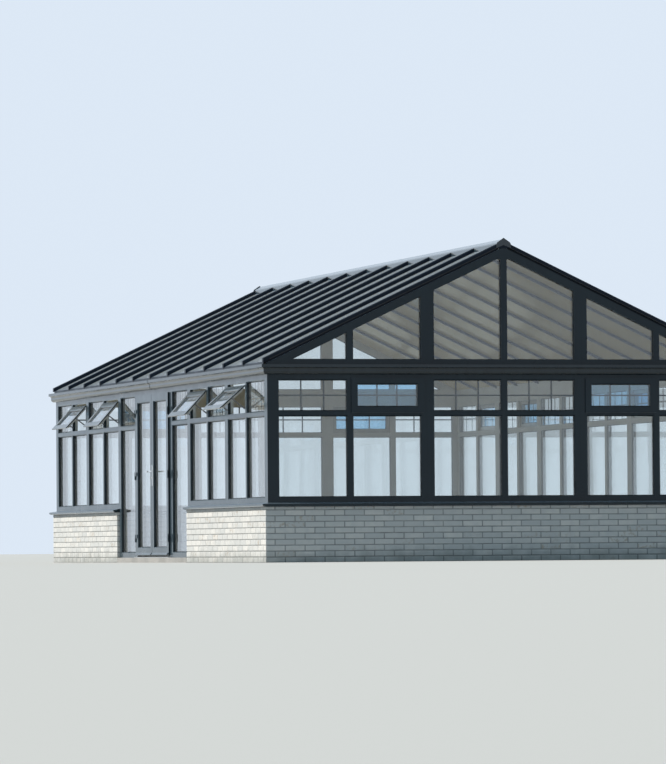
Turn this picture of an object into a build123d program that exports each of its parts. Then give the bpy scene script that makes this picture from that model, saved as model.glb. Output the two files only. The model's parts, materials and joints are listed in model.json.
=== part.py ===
from build123d import *
from math import atan2, cos, degrees, hypot, radians, sin, tan
import os

# Garden room: a glazed building on brick dwarf walls, in millimetres.
# The origin is the middle of the footprint at ground level. X runs across the
# gable front, Y runs back along the ridge and Z is up. The gable front looks
# towards -Y and the wall with the doors towards -X.

# Plan: every wall is a row of two-pane frames with a coupler between them
FRAME_WIDTH = 1852
FRAME_DEPTH = 70
COUPLER = 18
POST = FRAME_DEPTH
END_FRAME_COUNT = 3
SIDE_FRAME_COUNT = 6
UNIT_STEP = FRAME_WIDTH + COUPLER
WIDTH = END_FRAME_COUNT * UNIT_STEP - COUPLER + 2 * POST
LENGTH = SIDE_FRAME_COUNT * UNIT_STEP - COUPLER + 2 * POST

# Heights above the ground
FLOOR_TOP = 60
WALL_TOP = 644
SILL_THICKNESS = 46
FRAME_BOTTOM = WALL_TOP + SILL_THICKNESS
FRAME_TOP = 2175
END_BEAM_HEIGHT = 108
RING_TOP = FRAME_TOP + END_BEAM_HEIGHT
EAVES_BEAM_RISE = 128

# Dwarf wall
WALL_PROUD = 40
WALL_THICKNESS = 290
SLAB_GAP = 2

# Window frame members, as seen from outside
JAMB_FACE = 70
MULLION_FACE = 74
TRANSOM_FACE = 63
BOTTOM_RAIL = 65
HEAD_RAIL = 70
TOP_LIGHT_HEIGHT = 353
BEAD_BEVEL = 9
GLASS_SETBACK = 30
GLASS_THICKNESS = 24
GLASS_REBATE = 12
GLASS_EDGE_GAP = 3

# Window sill and inner board
SILL_NOSE = 85
SILL_FALL = 16
SILL_LIP = 20
BOARD_THICKNESS = 22
BOARD_OVERHANG = 24

# Top-hung vents
SASH_LAP = 26
SASH_FLANGE = 20
SASH_BODY = 38
SASH_GAP = 4
SASH_FACE = 49
STAY_THICKNESS = 3
STAY_WIDTH = 18
STAY_REACH_SHARE = 0.7
STAY_FOOT_SHARE = 0.6
VENT_ANGLES = (43, 41, 43, 49)

# Double doors
DOOR_JAMB = 60
THRESHOLD = 22
SIDELIGHT_RAIL = 70
LEAF_GAP = 6
MEETING_GAP = 10
LEAF_PROUD = 22
LEAF_DEPTH = 60
LEAF_LAP = 12
LAP_CLEARANCE = 5
LEAF_STILE = 93
LEAF_TOP_RAIL = 86
LEAF_BOTTOM_RAIL = 105
MEETING_BEVEL = 5
KNUCKLE_RADIUS = 9
KNUCKLE_LENGTH = 48
KNUCKLE_GAP = 0.3
PIN_RADIUS = 4
PIN_CLEARANCE = 0.3
HINGE_PLATE = 4
HINGE_PLATE_REACH = 52
HINGE_STAND_OFF = 5
HINGE_END_DISTANCE = 215
HANDLE_LEVEL = 1140
HANDLE_PLATE_HEIGHT = 270
HANDLE_PLATE_WIDTH = 32
HANDLE_PLATE_THICKNESS = 9
LEVER_LIFT = 50
LEVER_REACH = 57
LEVER_LENGTH = 125
LEVER_NECK = 18
LEVER_THICKNESS = 12
LEVER_HEIGHT = 18
LEVER_RETURN = 26
LEVER_BEND = 9

# Roof
ROOF_PITCH = 25.3
EAVES_OVERHANG = 28
PANEL_OVERHANG = 16
BAR_SPACES = 12
END_BAR_INSET = 5
CAP_WIDTH = 60
CAP_HEIGHT = 46
CAP_CHAMFER = 9
NECK_WIDTH = 12
PANEL_THICKNESS = 25
PANEL_SIDE_GAP = 3
PANEL_TOP_GAP = 8
WEB_WIDTH = 50
WEB_DEPTH = 28
RIDGE_BEAM_WIDTH = 120
RIDGE_BEAM_DEPTH = 120
RIDGE_CAP_RISE = 19
RIDGE_CAP_WIDTH = 150
RIDGE_SHOULDER_WIDTH = 126
RIDGE_SHOULDER_RISE = 10
RIDGE_END_THICKNESS = 8
RIDGE_END_LIP = 14

# Gable frame
GABLE_RAFTER = 160
GABLE_SILL = 62
GABLE_CROWN_HALF_WIDTH = 74

# Gutter and gable fascia
GUTTER_DROP = 22
GUTTER_HEIGHT = 132
GUTTER_WALL = 4
GUTTER_BASE = 58
GUTTER_BULGE = 36
GUTTER_COVE = 24
GUTTER_LIP = 5
GUTTER_STOP = 4
FASCIA_DEPTH = 66
FASCIA_BULGE = 77
FASCIA_ROLL = 37
FASCIA_BAND = 40
FASCIA_LIP = 6
FASCIA_NECK = 20
FASCIA_NECK_HEIGHT = 22

SLOPE = tan(radians(ROOF_PITCH))
PLUMB = 1 / cos(radians(ROOF_PITCH))
HALF_WIDTH = WIDTH / 2
HALF_LENGTH = LENGTH / 2
PANE_WIDTH = (FRAME_WIDTH - 2 * JAMB_FACE - MULLION_FACE) / 2
PANE_TOP = FRAME_TOP - HEAD_RAIL
TRANSOM_TOP = PANE_TOP - TOP_LIGHT_HEIGHT
TRANSOM_BOTTOM = TRANSOM_TOP - TRANSOM_FACE
PANEL_BOTTOM_DEPTH = CAP_HEIGHT + PANEL_THICKNESS
WEB_BOTTOM_DEPTH = PANEL_BOTTOM_DEPTH + WEB_DEPTH
ROOF_APEX = FRAME_TOP + EAVES_BEAM_RISE + SLOPE * HALF_WIDTH + PANEL_BOTTOM_DEPTH * PLUMB
EAVES_HALF_SPAN = HALF_WIDTH + EAVES_OVERHANG
PANEL_HALF_SPAN = HALF_WIDTH + PANEL_OVERHANG
RIDGE_BEAM_BOTTOM = ROOF_APEX - PANEL_BOTTOM_DEPTH * PLUMB - RIDGE_BEAM_DEPTH
GABLE_SILL_TOP = RING_TOP + GABLE_SILL
GABLE_CROWN = ROOF_APEX - GABLE_RAFTER * PLUMB - SLOPE * GABLE_CROWN_HALF_WIDTH
GUTTER_BOTTOM = FRAME_TOP - GUTTER_DROP

# Each wall has its own axes: X along the wall, Y inwards from the frame face
WALLS = {
    "front": Location((0, -HALF_LENGTH, 0), (0, 0, 0)),
    "back": Location((0, HALF_LENGTH, 0), (0, 0, 180)),
    "left": Location((-HALF_WIDTH, 0, 0), (0, 0, -90)),
    "right": Location((HALF_WIDTH, 0, 0), (0, 0, 90)),
}
HALF_RUN = {"front": HALF_WIDTH, "back": HALF_WIDTH, "left": HALF_LENGTH, "right": HALF_LENGTH}


def save(name, shapes):
    """Write the solids of one named piece to its STEP file."""
    solids = [solid for shape in shapes for solid in shape.solids()]
    export_step(Compound(solids), f"parts/{name}.step")


def block(x_range, y_range, z_range):
    """Return a box that fills three ranges."""
    ranges = (x_range, y_range, z_range)
    size = [high - low for low, high in ranges]
    centre = [(high + low) / 2 for low, high in ranges]
    return Pos(*centre) * Box(*size)


def profile_run(outline, start, end):
    """Extrude a closed outline of depth and height along a wall."""
    face = Plane.YZ * make_face(outline)
    return Pos(start, 0, 0) * extrude(face, amount=end - start)


def mitre_prism(half_run, reach):
    """Return the plan wedge that cuts a wall's run at its two corners."""
    points = [
        (-half_run - reach, -reach),
        (half_run + reach, -reach),
        (half_run - reach, reach),
        (-half_run + reach, reach),
    ]
    return extrude(make_face(Polyline(points, close=True)), amount=ROOF_APEX)


def frame_starts(wall):
    """Return the left edge of each two-pane frame along a wall."""
    half = HALF_RUN[wall]
    count = SIDE_FRAME_COUNT if half == HALF_LENGTH else END_FRAME_COUNT
    return [-half + POST + index * UNIT_STEP for index in range(count)]


def roof_z(x, depth):
    """Return the height of the roof at x, a depth below the top of its caps."""
    return ROOF_APEX - SLOPE * abs(x) - depth * PLUMB


# Glazed frames

def sight_cut(x_range, z_range, depth):
    """Return what a pane's opening takes out of its frame: sight, rebate and bevel."""
    x0, x1 = x_range
    z0, z1 = z_range
    through = block(x_range, (-1, depth + 1), z_range)
    rebate = block(
        (x0 - GLASS_REBATE, x1 + GLASS_REBATE),
        (GLASS_SETBACK, GLASS_SETBACK + GLASS_THICKNESS),
        (z0 - GLASS_REBATE, z1 + GLASS_REBATE),
    )
    wide = Plane.XZ * Rectangle(x1 - x0 + 2 * BEAD_BEVEL, z1 - z0 + 2 * BEAD_BEVEL)
    bevel = Pos((x0 + x1) / 2, 0, (z0 + z1) / 2) * extrude(wide, amount=-BEAD_BEVEL, taper=45)
    return through + rebate + bevel


def pane(x_range, z_range):
    """Return the sealed unit that sits in a pane's rebate."""
    grow = GLASS_REBATE - GLASS_EDGE_GAP
    return block(
        (x_range[0] - grow, x_range[1] + grow),
        (GLASS_SETBACK, GLASS_SETBACK + GLASS_THICKNESS),
        (z_range[0] - grow, z_range[1] + grow),
    )


def frame_panes(start, width):
    """Return the sight width of each pane in a frame, left to right."""
    if width < FRAME_WIDTH:
        return [(start + JAMB_FACE, start + width - JAMB_FACE)]
    middle = start + width / 2
    return [
        (start + JAMB_FACE, middle - MULLION_FACE / 2),
        (middle + MULLION_FACE / 2, start + width - JAMB_FACE),
    ]


def window_frame(start, width, bottom, rail, vents=()):
    """Return a frame and its panes; a vent's light is left open for its sash."""
    frame = block((start, start + width), (0, FRAME_DEPTH), (bottom, FRAME_TOP))
    glass = []
    for index, sight in enumerate(frame_panes(start, width)):
        low_light = (bottom + rail, TRANSOM_BOTTOM)
        top_light = (TRANSOM_TOP, PANE_TOP)
        frame -= sight_cut(sight, low_light, FRAME_DEPTH)
        glass.append(pane(sight, low_light))
        if index in vents:
            frame -= block(sight, (-1, FRAME_DEPTH + 1), top_light)
        else:
            frame -= sight_cut(sight, top_light, FRAME_DEPTH)
            glass.append(pane(sight, top_light))
    return frame, glass


def vent_sash(sight, angle):
    """Return a top-hung sash, its glass and its two stays, opened by an angle."""
    x0, x1 = sight
    hinge_z = PANE_TOP + SASH_LAP
    flange = block(
        (x0 - SASH_LAP, x1 + SASH_LAP), (-SASH_FLANGE, 0), (TRANSOM_TOP - SASH_LAP, hinge_z)
    )
    body = block(
        (x0 + SASH_GAP, x1 - SASH_GAP),
        (0, SASH_BODY),
        (TRANSOM_TOP + SASH_GAP, PANE_TOP - SASH_GAP),
    )
    light_x = (x0 + SASH_FACE, x1 - SASH_FACE)
    light_z = (TRANSOM_TOP + SASH_FACE, PANE_TOP - SASH_FACE)
    to_flange = Pos(0, -SASH_FLANGE, 0)
    cut = to_flange * sight_cut(light_x, light_z, SASH_FLANGE + SASH_BODY)
    sash = flange + body - cut
    glass = to_flange * pane(light_x, light_z)
    hinge = Pos(0, 0, hinge_z) * Rot(-angle, 0, 0) * Pos(0, 0, -hinge_z)
    gaps = (x0 + SASH_GAP / 2, x1 - SASH_GAP / 2)
    stays = [vent_stay(x, hinge_z, angle) for x in gaps] if angle else []
    return hinge * sash, hinge * glass, stays


def vent_stay(x, hinge_z, angle):
    """Return the flat arm in the gap between a sash's side and the jamb."""
    swing = radians(angle)
    depth = SASH_BODY / 2
    reach = STAY_REACH_SHARE * TOP_LIGHT_HEIGHT
    foot_y = depth
    foot_z = PANE_TOP - STAY_FOOT_SHARE * TOP_LIGHT_HEIGHT
    head_y = depth * cos(swing) - reach * sin(swing)
    head_z = hinge_z - reach * cos(swing) - depth * sin(swing)
    length = hypot(head_y - foot_y, head_z - foot_z)
    tilt = degrees(atan2(head_z - foot_z, head_y - foot_y))
    bar = Box(STAY_THICKNESS, length + STAY_WIDTH, STAY_WIDTH)
    return Pos(x, (foot_y + head_y) / 2, (foot_z + head_z) / 2) * Rot(tilt, 0, 0) * bar


# Base: floor, dwarf walls, sills and boards

def door_gap():
    """Return the stretch of the left wall that the doors and sidelights fill."""
    starts = frame_starts("left")
    return starts[2] - COUPLER, starts[4]


def build_base():
    """Write the floor slab and the brick dwarf walls."""
    gap_start, gap_end = door_gap()
    outer_x = HALF_WIDTH + WALL_PROUD
    outer_y = HALF_LENGTH + WALL_PROUD
    inner_x = outer_x - WALL_THICKNESS
    inner_y = outer_y - WALL_THICKNESS
    slab = block(
        (-inner_x + SLAB_GAP, inner_x - SLAB_GAP),
        (-inner_y + SLAB_GAP, inner_y - SLAB_GAP),
        (0, FLOOR_TOP),
    )
    step = WALLS["left"] * block((gap_start, gap_end), (-WALL_PROUD, WALL_THICKNESS), (0, FLOOR_TOP))
    save("floor_slab", [slab + step])
    for name, side in (("front_dwarf_wall", -1), ("back_dwarf_wall", 1)):
        y_range = sorted((side * inner_y, side * outer_y))
        save(name, [block((-outer_x, outer_x), y_range, (0, WALL_TOP))])
    save("right_dwarf_wall", [block((inner_x, outer_x), (-inner_y, inner_y), (0, WALL_TOP))])
    depth = (-WALL_PROUD, WALL_THICKNESS - WALL_PROUD)
    rear = WALLS["left"] * block((-inner_y, gap_start), depth, (0, WALL_TOP))
    front = WALLS["left"] * block((gap_end, inner_y), depth, (0, WALL_TOP))
    save("left_dwarf_wall_rear", [rear])
    save("left_dwarf_wall_front", [front])


def sill_outline():
    """Return the section of the outer sill, from its nose to the frame's back."""
    return Polyline(
        (-SILL_NOSE, FRAME_BOTTOM - SILL_FALL - SILL_LIP),
        (-SILL_NOSE, FRAME_BOTTOM - SILL_FALL),
        (0, FRAME_BOTTOM),
        (FRAME_DEPTH, FRAME_BOTTOM),
        (FRAME_DEPTH, WALL_TOP),
        (-WALL_PROUD, WALL_TOP),
        (-SILL_NOSE + SILL_LIP, WALL_TOP),
        close=True,
    )


def build_sills():
    """Write the mitred sills and the boards inside them."""
    gap_start, gap_end = door_gap()
    ends = []
    sides = []
    for wall in WALLS:
        half = HALF_RUN[wall]
        run = profile_run(sill_outline(), -half - SILL_NOSE, half + SILL_NOSE)
        run &= mitre_prism(half, WALL_THICKNESS)
        if wall == "left":
            run -= block((gap_start, gap_end), (-WALL_THICKNESS, WALL_THICKNESS), (0, ROOF_APEX))
        (sides if half == HALF_LENGTH else ends).append(WALLS[wall] * run)
    save("end_sills", ends)
    save("side_sills", sides)
    boards = []
    depth = (FRAME_DEPTH, WALL_THICKNESS - WALL_PROUD + BOARD_OVERHANG)
    level = (WALL_TOP, WALL_TOP + BOARD_THICKNESS)
    for wall in ("front", "back"):
        boards.append(WALLS[wall] * block((-HALF_WIDTH + POST, HALF_WIDTH - POST), depth, level))
    inner = HALF_LENGTH - depth[1]
    boards.append(WALLS["right"] * block((-inner, inner), depth, level))
    boards.append(WALLS["left"] * block((-inner, gap_start), depth, level))
    boards.append(WALLS["left"] * block((gap_end, inner), depth, level))
    save("end_boards", boards[:2])
    save("side_boards", boards[2:])


# Walls of glass

def open_vent_plan():
    """Return which light of each left-hand frame has the open vent, with its angle."""
    frames = (0, 1, 4, 5)
    lights = (1, 1, 0, 0)
    return {frame: (light, angle) for frame, light, angle in zip(frames, lights, VENT_ANGLES)}


def build_walls():
    """Write the window frames, glass, vents, posts and couplers."""
    glass = {"end": [], "side": []}
    sashes = []
    sash_glass = []
    stays = []
    closed = {"front": {0: 1, 2: 0}, "back": {0: 1, 2: 0}, "right": {0: 1, 1: 1, 4: 0, 5: 0}}
    opened = open_vent_plan()
    for wall, place in WALLS.items():
        frames = []
        kind = "side" if HALF_RUN[wall] == HALF_LENGTH else "end"
        for index, start in enumerate(frame_starts(wall)):
            if wall == "left" and index in (2, 3):
                continue
            light, angle = opened[index] if wall == "left" else (closed[wall].get(index), 0)
            vents = () if light is None else (light,)
            frame, panes = window_frame(start, FRAME_WIDTH, FRAME_BOTTOM, BOTTOM_RAIL, vents)
            frames.append(place * frame)
            glass[kind] += [place * item for item in panes]
            for light in vents:
                sash, sheet, arms = vent_sash(frame_panes(start, FRAME_WIDTH)[light], angle)
                sashes.append(place * sash)
                sash_glass.append(place * sheet)
                stays += [place * arm for arm in arms]
        save(f"{wall}_window_frames", frames)
    sidelights, panes = build_sidelights()
    save("sidelight_frames", sidelights)
    save("end_wall_glass", glass["end"])
    save("side_wall_glass", glass["side"] + panes)
    save("vent_sashes", sashes)
    save("vent_glass", sash_glass)
    save("vent_stays", stays)


def door_start():
    """Return the left edge of the door frame along the left wall."""
    return frame_starts("left")[2] + (FRAME_WIDTH - COUPLER) / 2 + COUPLER


def build_sidelights():
    """Return the tall narrow frames on both sides of the doors, and their panes."""
    width = (FRAME_WIDTH - COUPLER) / 2
    starts = (frame_starts("left")[2], door_start() + FRAME_WIDTH + COUPLER)
    frames = []
    panes = []
    for start in starts:
        frame, glass = window_frame(start, width, FLOOR_TOP, SIDELIGHT_RAIL)
        frames.append(WALLS["left"] * frame)
        panes += [WALLS["left"] * item for item in glass]
    return frames, panes


def build_posts():
    """Write the corner posts and the couplers between the frames."""
    posts = []
    across = (-POST / 2, POST / 2)
    for x in (-1, 1):
        for y in (-1, 1):
            centre = Pos(x * (HALF_WIDTH - POST / 2), y * (HALF_LENGTH - POST / 2))
            posts.append(centre * block(across, across, (FRAME_BOTTOM, FRAME_TOP)))
    save("corner_posts", posts)
    couplers = []
    for wall, place in WALLS.items():
        for index, start in enumerate(frame_starts(wall)[1:], start=1):
            if wall == "left" and index == 3:
                continue
            beside_door = wall == "left" and index in (2, 4)
            bottom = FLOOR_TOP if beside_door else FRAME_BOTTOM
            strip = block((start - COUPLER, start), (0, FRAME_DEPTH), (bottom, FRAME_TOP))
            couplers.append(place * strip)
    for start in (door_start() - COUPLER, door_start() + FRAME_WIDTH):
        door_side = block((start, start + COUPLER), (0, FRAME_DEPTH), (FLOOR_TOP, FRAME_TOP))
        couplers.append(WALLS["left"] * door_side)
    save("frame_couplers", couplers)


# Doors

def build_door_frame():
    """Write the door's jambs, head and threshold."""
    start = door_start()
    end = start + FRAME_WIDTH
    place = WALLS["left"]
    depth = (0, FRAME_DEPTH)
    sill_top = FLOOR_TOP + THRESHOLD
    jambs = [
        block((start, start + DOOR_JAMB), depth, (sill_top, FRAME_TOP)),
        block((end - DOOR_JAMB, end), depth, (sill_top, FRAME_TOP)),
    ]
    head = block((start + DOOR_JAMB, end - DOOR_JAMB), depth, (PANE_TOP, FRAME_TOP))
    threshold = Polyline(
        (-WALL_PROUD, FLOOR_TOP),
        (-WALL_PROUD, FLOOR_TOP + THRESHOLD / 3),
        (0, sill_top),
        (FRAME_DEPTH, sill_top),
        (FRAME_DEPTH, FLOOR_TOP),
        close=True,
    )
    save("door_frame_jambs", [place * jamb for jamb in jambs])
    save("door_frame_head", [place * head])
    save("door_threshold", [place * profile_run(threshold, start, end)])


def leaf_box():
    """Return the leaf's width and its bottom and top."""
    clear = FRAME_WIDTH - 2 * DOOR_JAMB
    width = (clear - 2 * LEAF_GAP - MEETING_GAP) / 2
    return width, FLOOR_TOP + THRESHOLD + LEAF_GAP, PANE_TOP - LEAF_GAP


def hinge_axis():
    """Return the hinge axis, measured from the leaf's hinge edge and the frame face."""
    beside = LEAF_LAP + HINGE_STAND_OFF + KNUCKLE_RADIUS
    outside = LEAF_PROUD + HINGE_STAND_OFF
    return -beside, -outside


def door_leaf():
    """Return a leaf hung at its left edge, which lies at X 0: frame, glass, handle, hinges."""
    width, bottom, top = leaf_box()
    front = -LEAF_PROUD
    back = LEAF_DEPTH - LEAF_PROUD
    body = Polyline(
        (0, front),
        (width, front),
        (width, front + LEAF_DEPTH / 3),
        (width - MEETING_BEVEL, back),
        (0, back),
        close=True,
    )
    slab = Pos(0, 0, bottom) * extrude(make_face(body), amount=top - bottom)
    lap = block((-LEAF_LAP, width), (front, -LAP_CLEARANCE), (bottom, top + LEAF_LAP))
    sight_x = (LEAF_STILE, width - LEAF_STILE)
    sight_z = (bottom + LEAF_BOTTOM_RAIL, top - LEAF_TOP_RAIL)
    shift = Pos(0, front, 0)
    frame = slab + lap - shift * sight_cut(sight_x, sight_z, LEAF_DEPTH)
    glass = shift * pane(sight_x, sight_z)
    return frame, glass, lever_handle(width - LEAF_STILE / 2), leaf_hinges()


def lever_handle(x):
    """Return the plates with their bent levers on both faces of a leaf."""
    slot = Plane.XZ * SlotOverall(HANDLE_PLATE_HEIGHT, HANDLE_PLATE_WIDTH, rotation=90)
    plate = extrude(slot, amount=HANDLE_PLATE_THICKNESS)
    half_neck = LEVER_NECK / 2
    plan = make_face(Polyline(
        (half_neck, -HANDLE_PLATE_THICKNESS / 2),
        (half_neck, -LEVER_REACH),
        (-LEVER_LENGTH, -LEVER_REACH),
        (-LEVER_LENGTH, LEVER_RETURN - LEVER_REACH),
        (LEVER_THICKNESS - LEVER_LENGTH, LEVER_RETURN - LEVER_REACH),
        (LEVER_THICKNESS - LEVER_LENGTH, LEVER_THICKNESS - LEVER_REACH),
        (-half_neck, LEVER_THICKNESS - LEVER_REACH),
        (-half_neck, -HANDLE_PLATE_THICKNESS / 2),
        close=True,
    ))
    plan = fillet(plan.vertices().group_by(Axis.Y)[0], LEVER_BEND)
    lever = Pos(0, 0, LEVER_LIFT - LEVER_HEIGHT / 2) * extrude(plan, amount=LEVER_HEIGHT)
    outer = plate + lever
    level = HANDLE_LEVEL - LEVER_LIFT
    inner_face = LEAF_DEPTH - LEAF_PROUD
    return [
        Pos(x, -LEAF_PROUD, level) * outer,
        Pos(x, inner_face, level) * mirror(outer, Plane.XZ),
    ]


def hinge_levels():
    """Return the heights of the three hinges of a leaf, at the joint of their knuckles."""
    _, bottom, top = leaf_box()
    return bottom + HINGE_END_DISTANCE, (bottom + top) / 2, top - HINGE_END_DISTANCE


def leaf_hinges():
    """Return the upper knuckle and flag of each hinge, which turn with the leaf."""
    axis_x, axis_y = hinge_axis()
    bottom = KNUCKLE_GAP
    top = KNUCKLE_GAP + KNUCKLE_LENGTH
    knuckle = Pos(0, 0, (bottom + top) / 2) * Cylinder(KNUCKLE_RADIUS, KNUCKLE_LENGTH)
    flag = block(
        (0, LEAF_STILE / 2 - axis_x),
        (-HINGE_PLATE, HINGE_STAND_OFF),
        (bottom, top),
    )
    bore = Cylinder(PIN_RADIUS + PIN_CLEARANCE, 2 * top + KNUCKLE_GAP)
    hinge = knuckle + flag - bore
    return [Pos(axis_x, axis_y, level) * hinge for level in hinge_levels()]


def frame_hinges():
    """Return the lower knuckle, pin and plate of each hinge, fixed to the jamb."""
    axis_x, axis_y = hinge_axis()
    top = KNUCKLE_GAP + KNUCKLE_LENGTH
    knuckle = Pos(0, 0, -KNUCKLE_LENGTH / 2) * Cylinder(KNUCKLE_RADIUS, KNUCKLE_LENGTH)
    pin = Pos(0, 0, top / 2) * Cylinder(PIN_RADIUS, top)
    height = (-KNUCKLE_LENGTH, 0)
    arm = block((-KNUCKLE_RADIUS, HINGE_PLATE - KNUCKLE_RADIUS), (0, -axis_y), height)
    plate = block(
        (-LEAF_GAP - HINGE_PLATE_REACH - axis_x, 0),
        (-HINGE_PLATE - axis_y, -axis_y),
        height,
    )
    hinge = knuckle + arm + plate + pin
    return [Pos(axis_x, axis_y, level) * hinge for level in hinge_levels()]


def build_doors():
    """Write both leaves with their glass, handles and hinges."""
    build_door_frame()
    start = door_start()
    width = leaf_box()[0]
    place = WALLS["left"]
    left_edge = Pos(start + DOOR_JAMB + LEAF_GAP, 0, 0)
    right_edge = Pos(start + FRAME_WIDTH - DOOR_JAMB - LEAF_GAP, 0, 0)
    frame, glass, handles, hinges = door_leaf()
    fixed = frame_hinges()
    pieces = {"frame": [frame], "glass": [glass], "handles": handles, "hinges": hinges}
    for piece, shapes in pieces.items():
        save(f"door_leaf_left_{piece}", [place * left_edge * shape for shape in shapes])
        mirrored = [mirror(shape, Plane.YZ) for shape in shapes]
        save(f"door_leaf_right_{piece}", [place * right_edge * shape for shape in mirrored])
    frame_side = [place * left_edge * shape for shape in fixed]
    frame_side += [place * right_edge * mirror(shape, Plane.YZ) for shape in fixed]
    save("door_frame_hinges", frame_side)


# Eaves, gables and gutters

def build_ring():
    """Write the beams on top of the frames."""
    ends = []
    for wall in ("front", "back"):
        beam = block((-HALF_WIDTH + POST, HALF_WIDTH - POST), (0, FRAME_DEPTH), (FRAME_TOP, RING_TOP))
        ends.append(WALLS[wall] * beam)
    save("end_beams", ends)
    outline = Polyline(
        (0, FRAME_TOP),
        (0, roof_z(HALF_WIDTH, PANEL_BOTTOM_DEPTH)),
        (FRAME_DEPTH, roof_z(HALF_WIDTH - FRAME_DEPTH, PANEL_BOTTOM_DEPTH)),
        (FRAME_DEPTH, FRAME_TOP),
        close=True,
    )
    beam = profile_run(outline, -HALF_LENGTH, HALF_LENGTH)
    save("eaves_beams", [WALLS[wall] * beam for wall in ("left", "right")])


def gable_opening(x0, x1):
    """Return the outline points of one raked light of the gable, for x0 below x1."""
    tip = (ROOF_APEX - GABLE_RAFTER * PLUMB - GABLE_SILL_TOP) / SLOPE
    outer = min(x1, tip)
    points = [(x0, GABLE_SILL_TOP), (outer, GABLE_SILL_TOP)]
    if outer < tip:
        points.append((outer, roof_z(outer, GABLE_RAFTER)))
    crown = (ROOF_APEX - GABLE_RAFTER * PLUMB - GABLE_CROWN) / SLOPE
    if x0 < crown:
        points.append((crown, GABLE_CROWN))
        points.append((x0, GABLE_CROWN))
    else:
        points.append((x0, roof_z(x0, GABLE_RAFTER)))
    return points


def gable_lights():
    """Return the outline points of the gable's lights on one side of the middle."""
    half_unit = FRAME_WIDTH / 2
    next_start = half_unit + COUPLER
    spans = (
        (MULLION_FACE / 2, half_unit - JAMB_FACE),
        (next_start + JAMB_FACE, next_start + JAMB_FACE + PANE_WIDTH),
        (next_start + JAMB_FACE + PANE_WIDTH + MULLION_FACE, HALF_WIDTH),
    )
    return [gable_opening(x0, x1) for x0, x1 in spans]


def upright_face(points):
    """Return a face in the wall's own upright plane."""
    return Plane.XZ * make_face(Polyline(points, close=True))


def build_gables():
    """Write the raked frames of both gables and their glass."""
    corner = roof_z(HALF_WIDTH - FRAME_DEPTH, PANEL_BOTTOM_DEPTH)
    outer = [
        (-HALF_WIDTH + FRAME_DEPTH, RING_TOP),
        (HALF_WIDTH - FRAME_DEPTH, RING_TOP),
        (HALF_WIDTH - FRAME_DEPTH, corner),
        (0, roof_z(0, PANEL_BOTTOM_DEPTH)),
        (-HALF_WIDTH + FRAME_DEPTH, corner),
    ]
    frame = extrude(upright_face(outer), amount=-FRAME_DEPTH)
    panes = []
    for light in gable_lights():
        opening = extrude(upright_face(light), amount=-FRAME_DEPTH)
        rim = offset(upright_face(light), amount=GLASS_REBATE, kind=Kind.INTERSECTION)
        sheet = offset(upright_face(light), amount=GLASS_REBATE - GLASS_EDGE_GAP, kind=Kind.INTERSECTION)
        rebate = Pos(0, GLASS_SETBACK, 0) * extrude(rim, amount=-GLASS_THICKNESS)
        glass = Pos(0, GLASS_SETBACK, 0) * extrude(sheet, amount=-GLASS_THICKNESS)
        for shape in (opening, rebate):
            frame -= shape
            frame -= mirror(shape, Plane.YZ)
        panes += [glass, mirror(glass, Plane.YZ)]
    save("gable_frames", [WALLS[wall] * frame for wall in ("front", "back")])
    save("gable_glass", [WALLS[wall] * item for wall in ("front", "back") for item in panes])


def gutter_outline(wall):
    """Return the ogee of the gutter, moved in by the thickness of its wall."""
    base = GUTTER_BOTTOM + wall
    bulge = GUTTER_BULGE - wall
    cove = GUTTER_COVE + wall
    front = -GUTTER_BASE
    turn = Vector(front - bulge, base + bulge)
    flare = Vector(turn.X, base + bulge + GUTTER_COVE / 2)
    brow = Vector(flare.X - cove, flare.Y + cove)
    top = GUTTER_BOTTOM + GUTTER_HEIGHT
    back = -GUTTER_LIP - wall
    return [
        Line((back, base), (front, base)),
        CenterArc((front, base + bulge), bulge, -90, -90),
        Line(turn, flare),
        CenterArc((flare.X - cove, flare.Y), cove, 0, 90),
        Line(brow, (brow.X, top)),
        Line((brow.X, top), (back, top)),
        Line((back, top), (back, base)),
    ]


def gutter_run(wall, half_run):
    """Extrude the gutter's section to both sides of the middle of the wall."""
    face = Plane.YZ * make_face(Wire(gutter_outline(wall)))
    return Pos(-half_run, 0, 0) * extrude(face, amount=2 * half_run)


def build_gutters():
    """Write the ogee gutters along both sides, closed at their ends."""
    gutter = gutter_run(0, HALF_LENGTH) - gutter_run(GUTTER_WALL, HALF_LENGTH - GUTTER_STOP)
    save("eaves_gutters", [WALLS[wall] * gutter for wall in ("left", "right")])


def fascia_outline():
    """Return the section of the moulding under the gable glass."""
    neck_top = FRAME_TOP + FASCIA_NECK_HEIGHT
    shoulder = RING_TOP - FASCIA_LIP
    roll_top = RING_TOP - FASCIA_BAND
    roll_foot = FASCIA_ROLL - FASCIA_BULGE
    upper = Polyline(
        (roll_foot, roll_top - FASCIA_ROLL),
        (roll_foot, neck_top),
        (-FASCIA_NECK, neck_top),
        (-FASCIA_NECK, FRAME_TOP),
        (0, FRAME_TOP),
        (0, GABLE_SILL_TOP),
        (-FASCIA_DEPTH, GABLE_SILL_TOP),
        (-FASCIA_DEPTH, RING_TOP),
        (-FASCIA_BULGE, shoulder),
        (-FASCIA_BULGE, roll_top),
    )
    roll = CenterArc((roll_foot, roll_top), FASCIA_ROLL, 180, 90)
    return upper + roll


def build_fascias():
    """Write the mouldings across both gable ends."""
    reach = HALF_WIDTH + FASCIA_BULGE
    run = profile_run(fascia_outline(), -reach, reach)
    save("gable_fascias", [WALLS[wall] * run for wall in ("front", "back")])


# Roof

def bar_positions():
    """Return the place of every glazing bar along the ridge."""
    last = HALF_LENGTH - END_BAR_INSET - CAP_WIDTH / 2
    spacing = 2 * last / BAR_SPACES
    return [index * spacing - last for index in range(BAR_SPACES + 1)]


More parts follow.
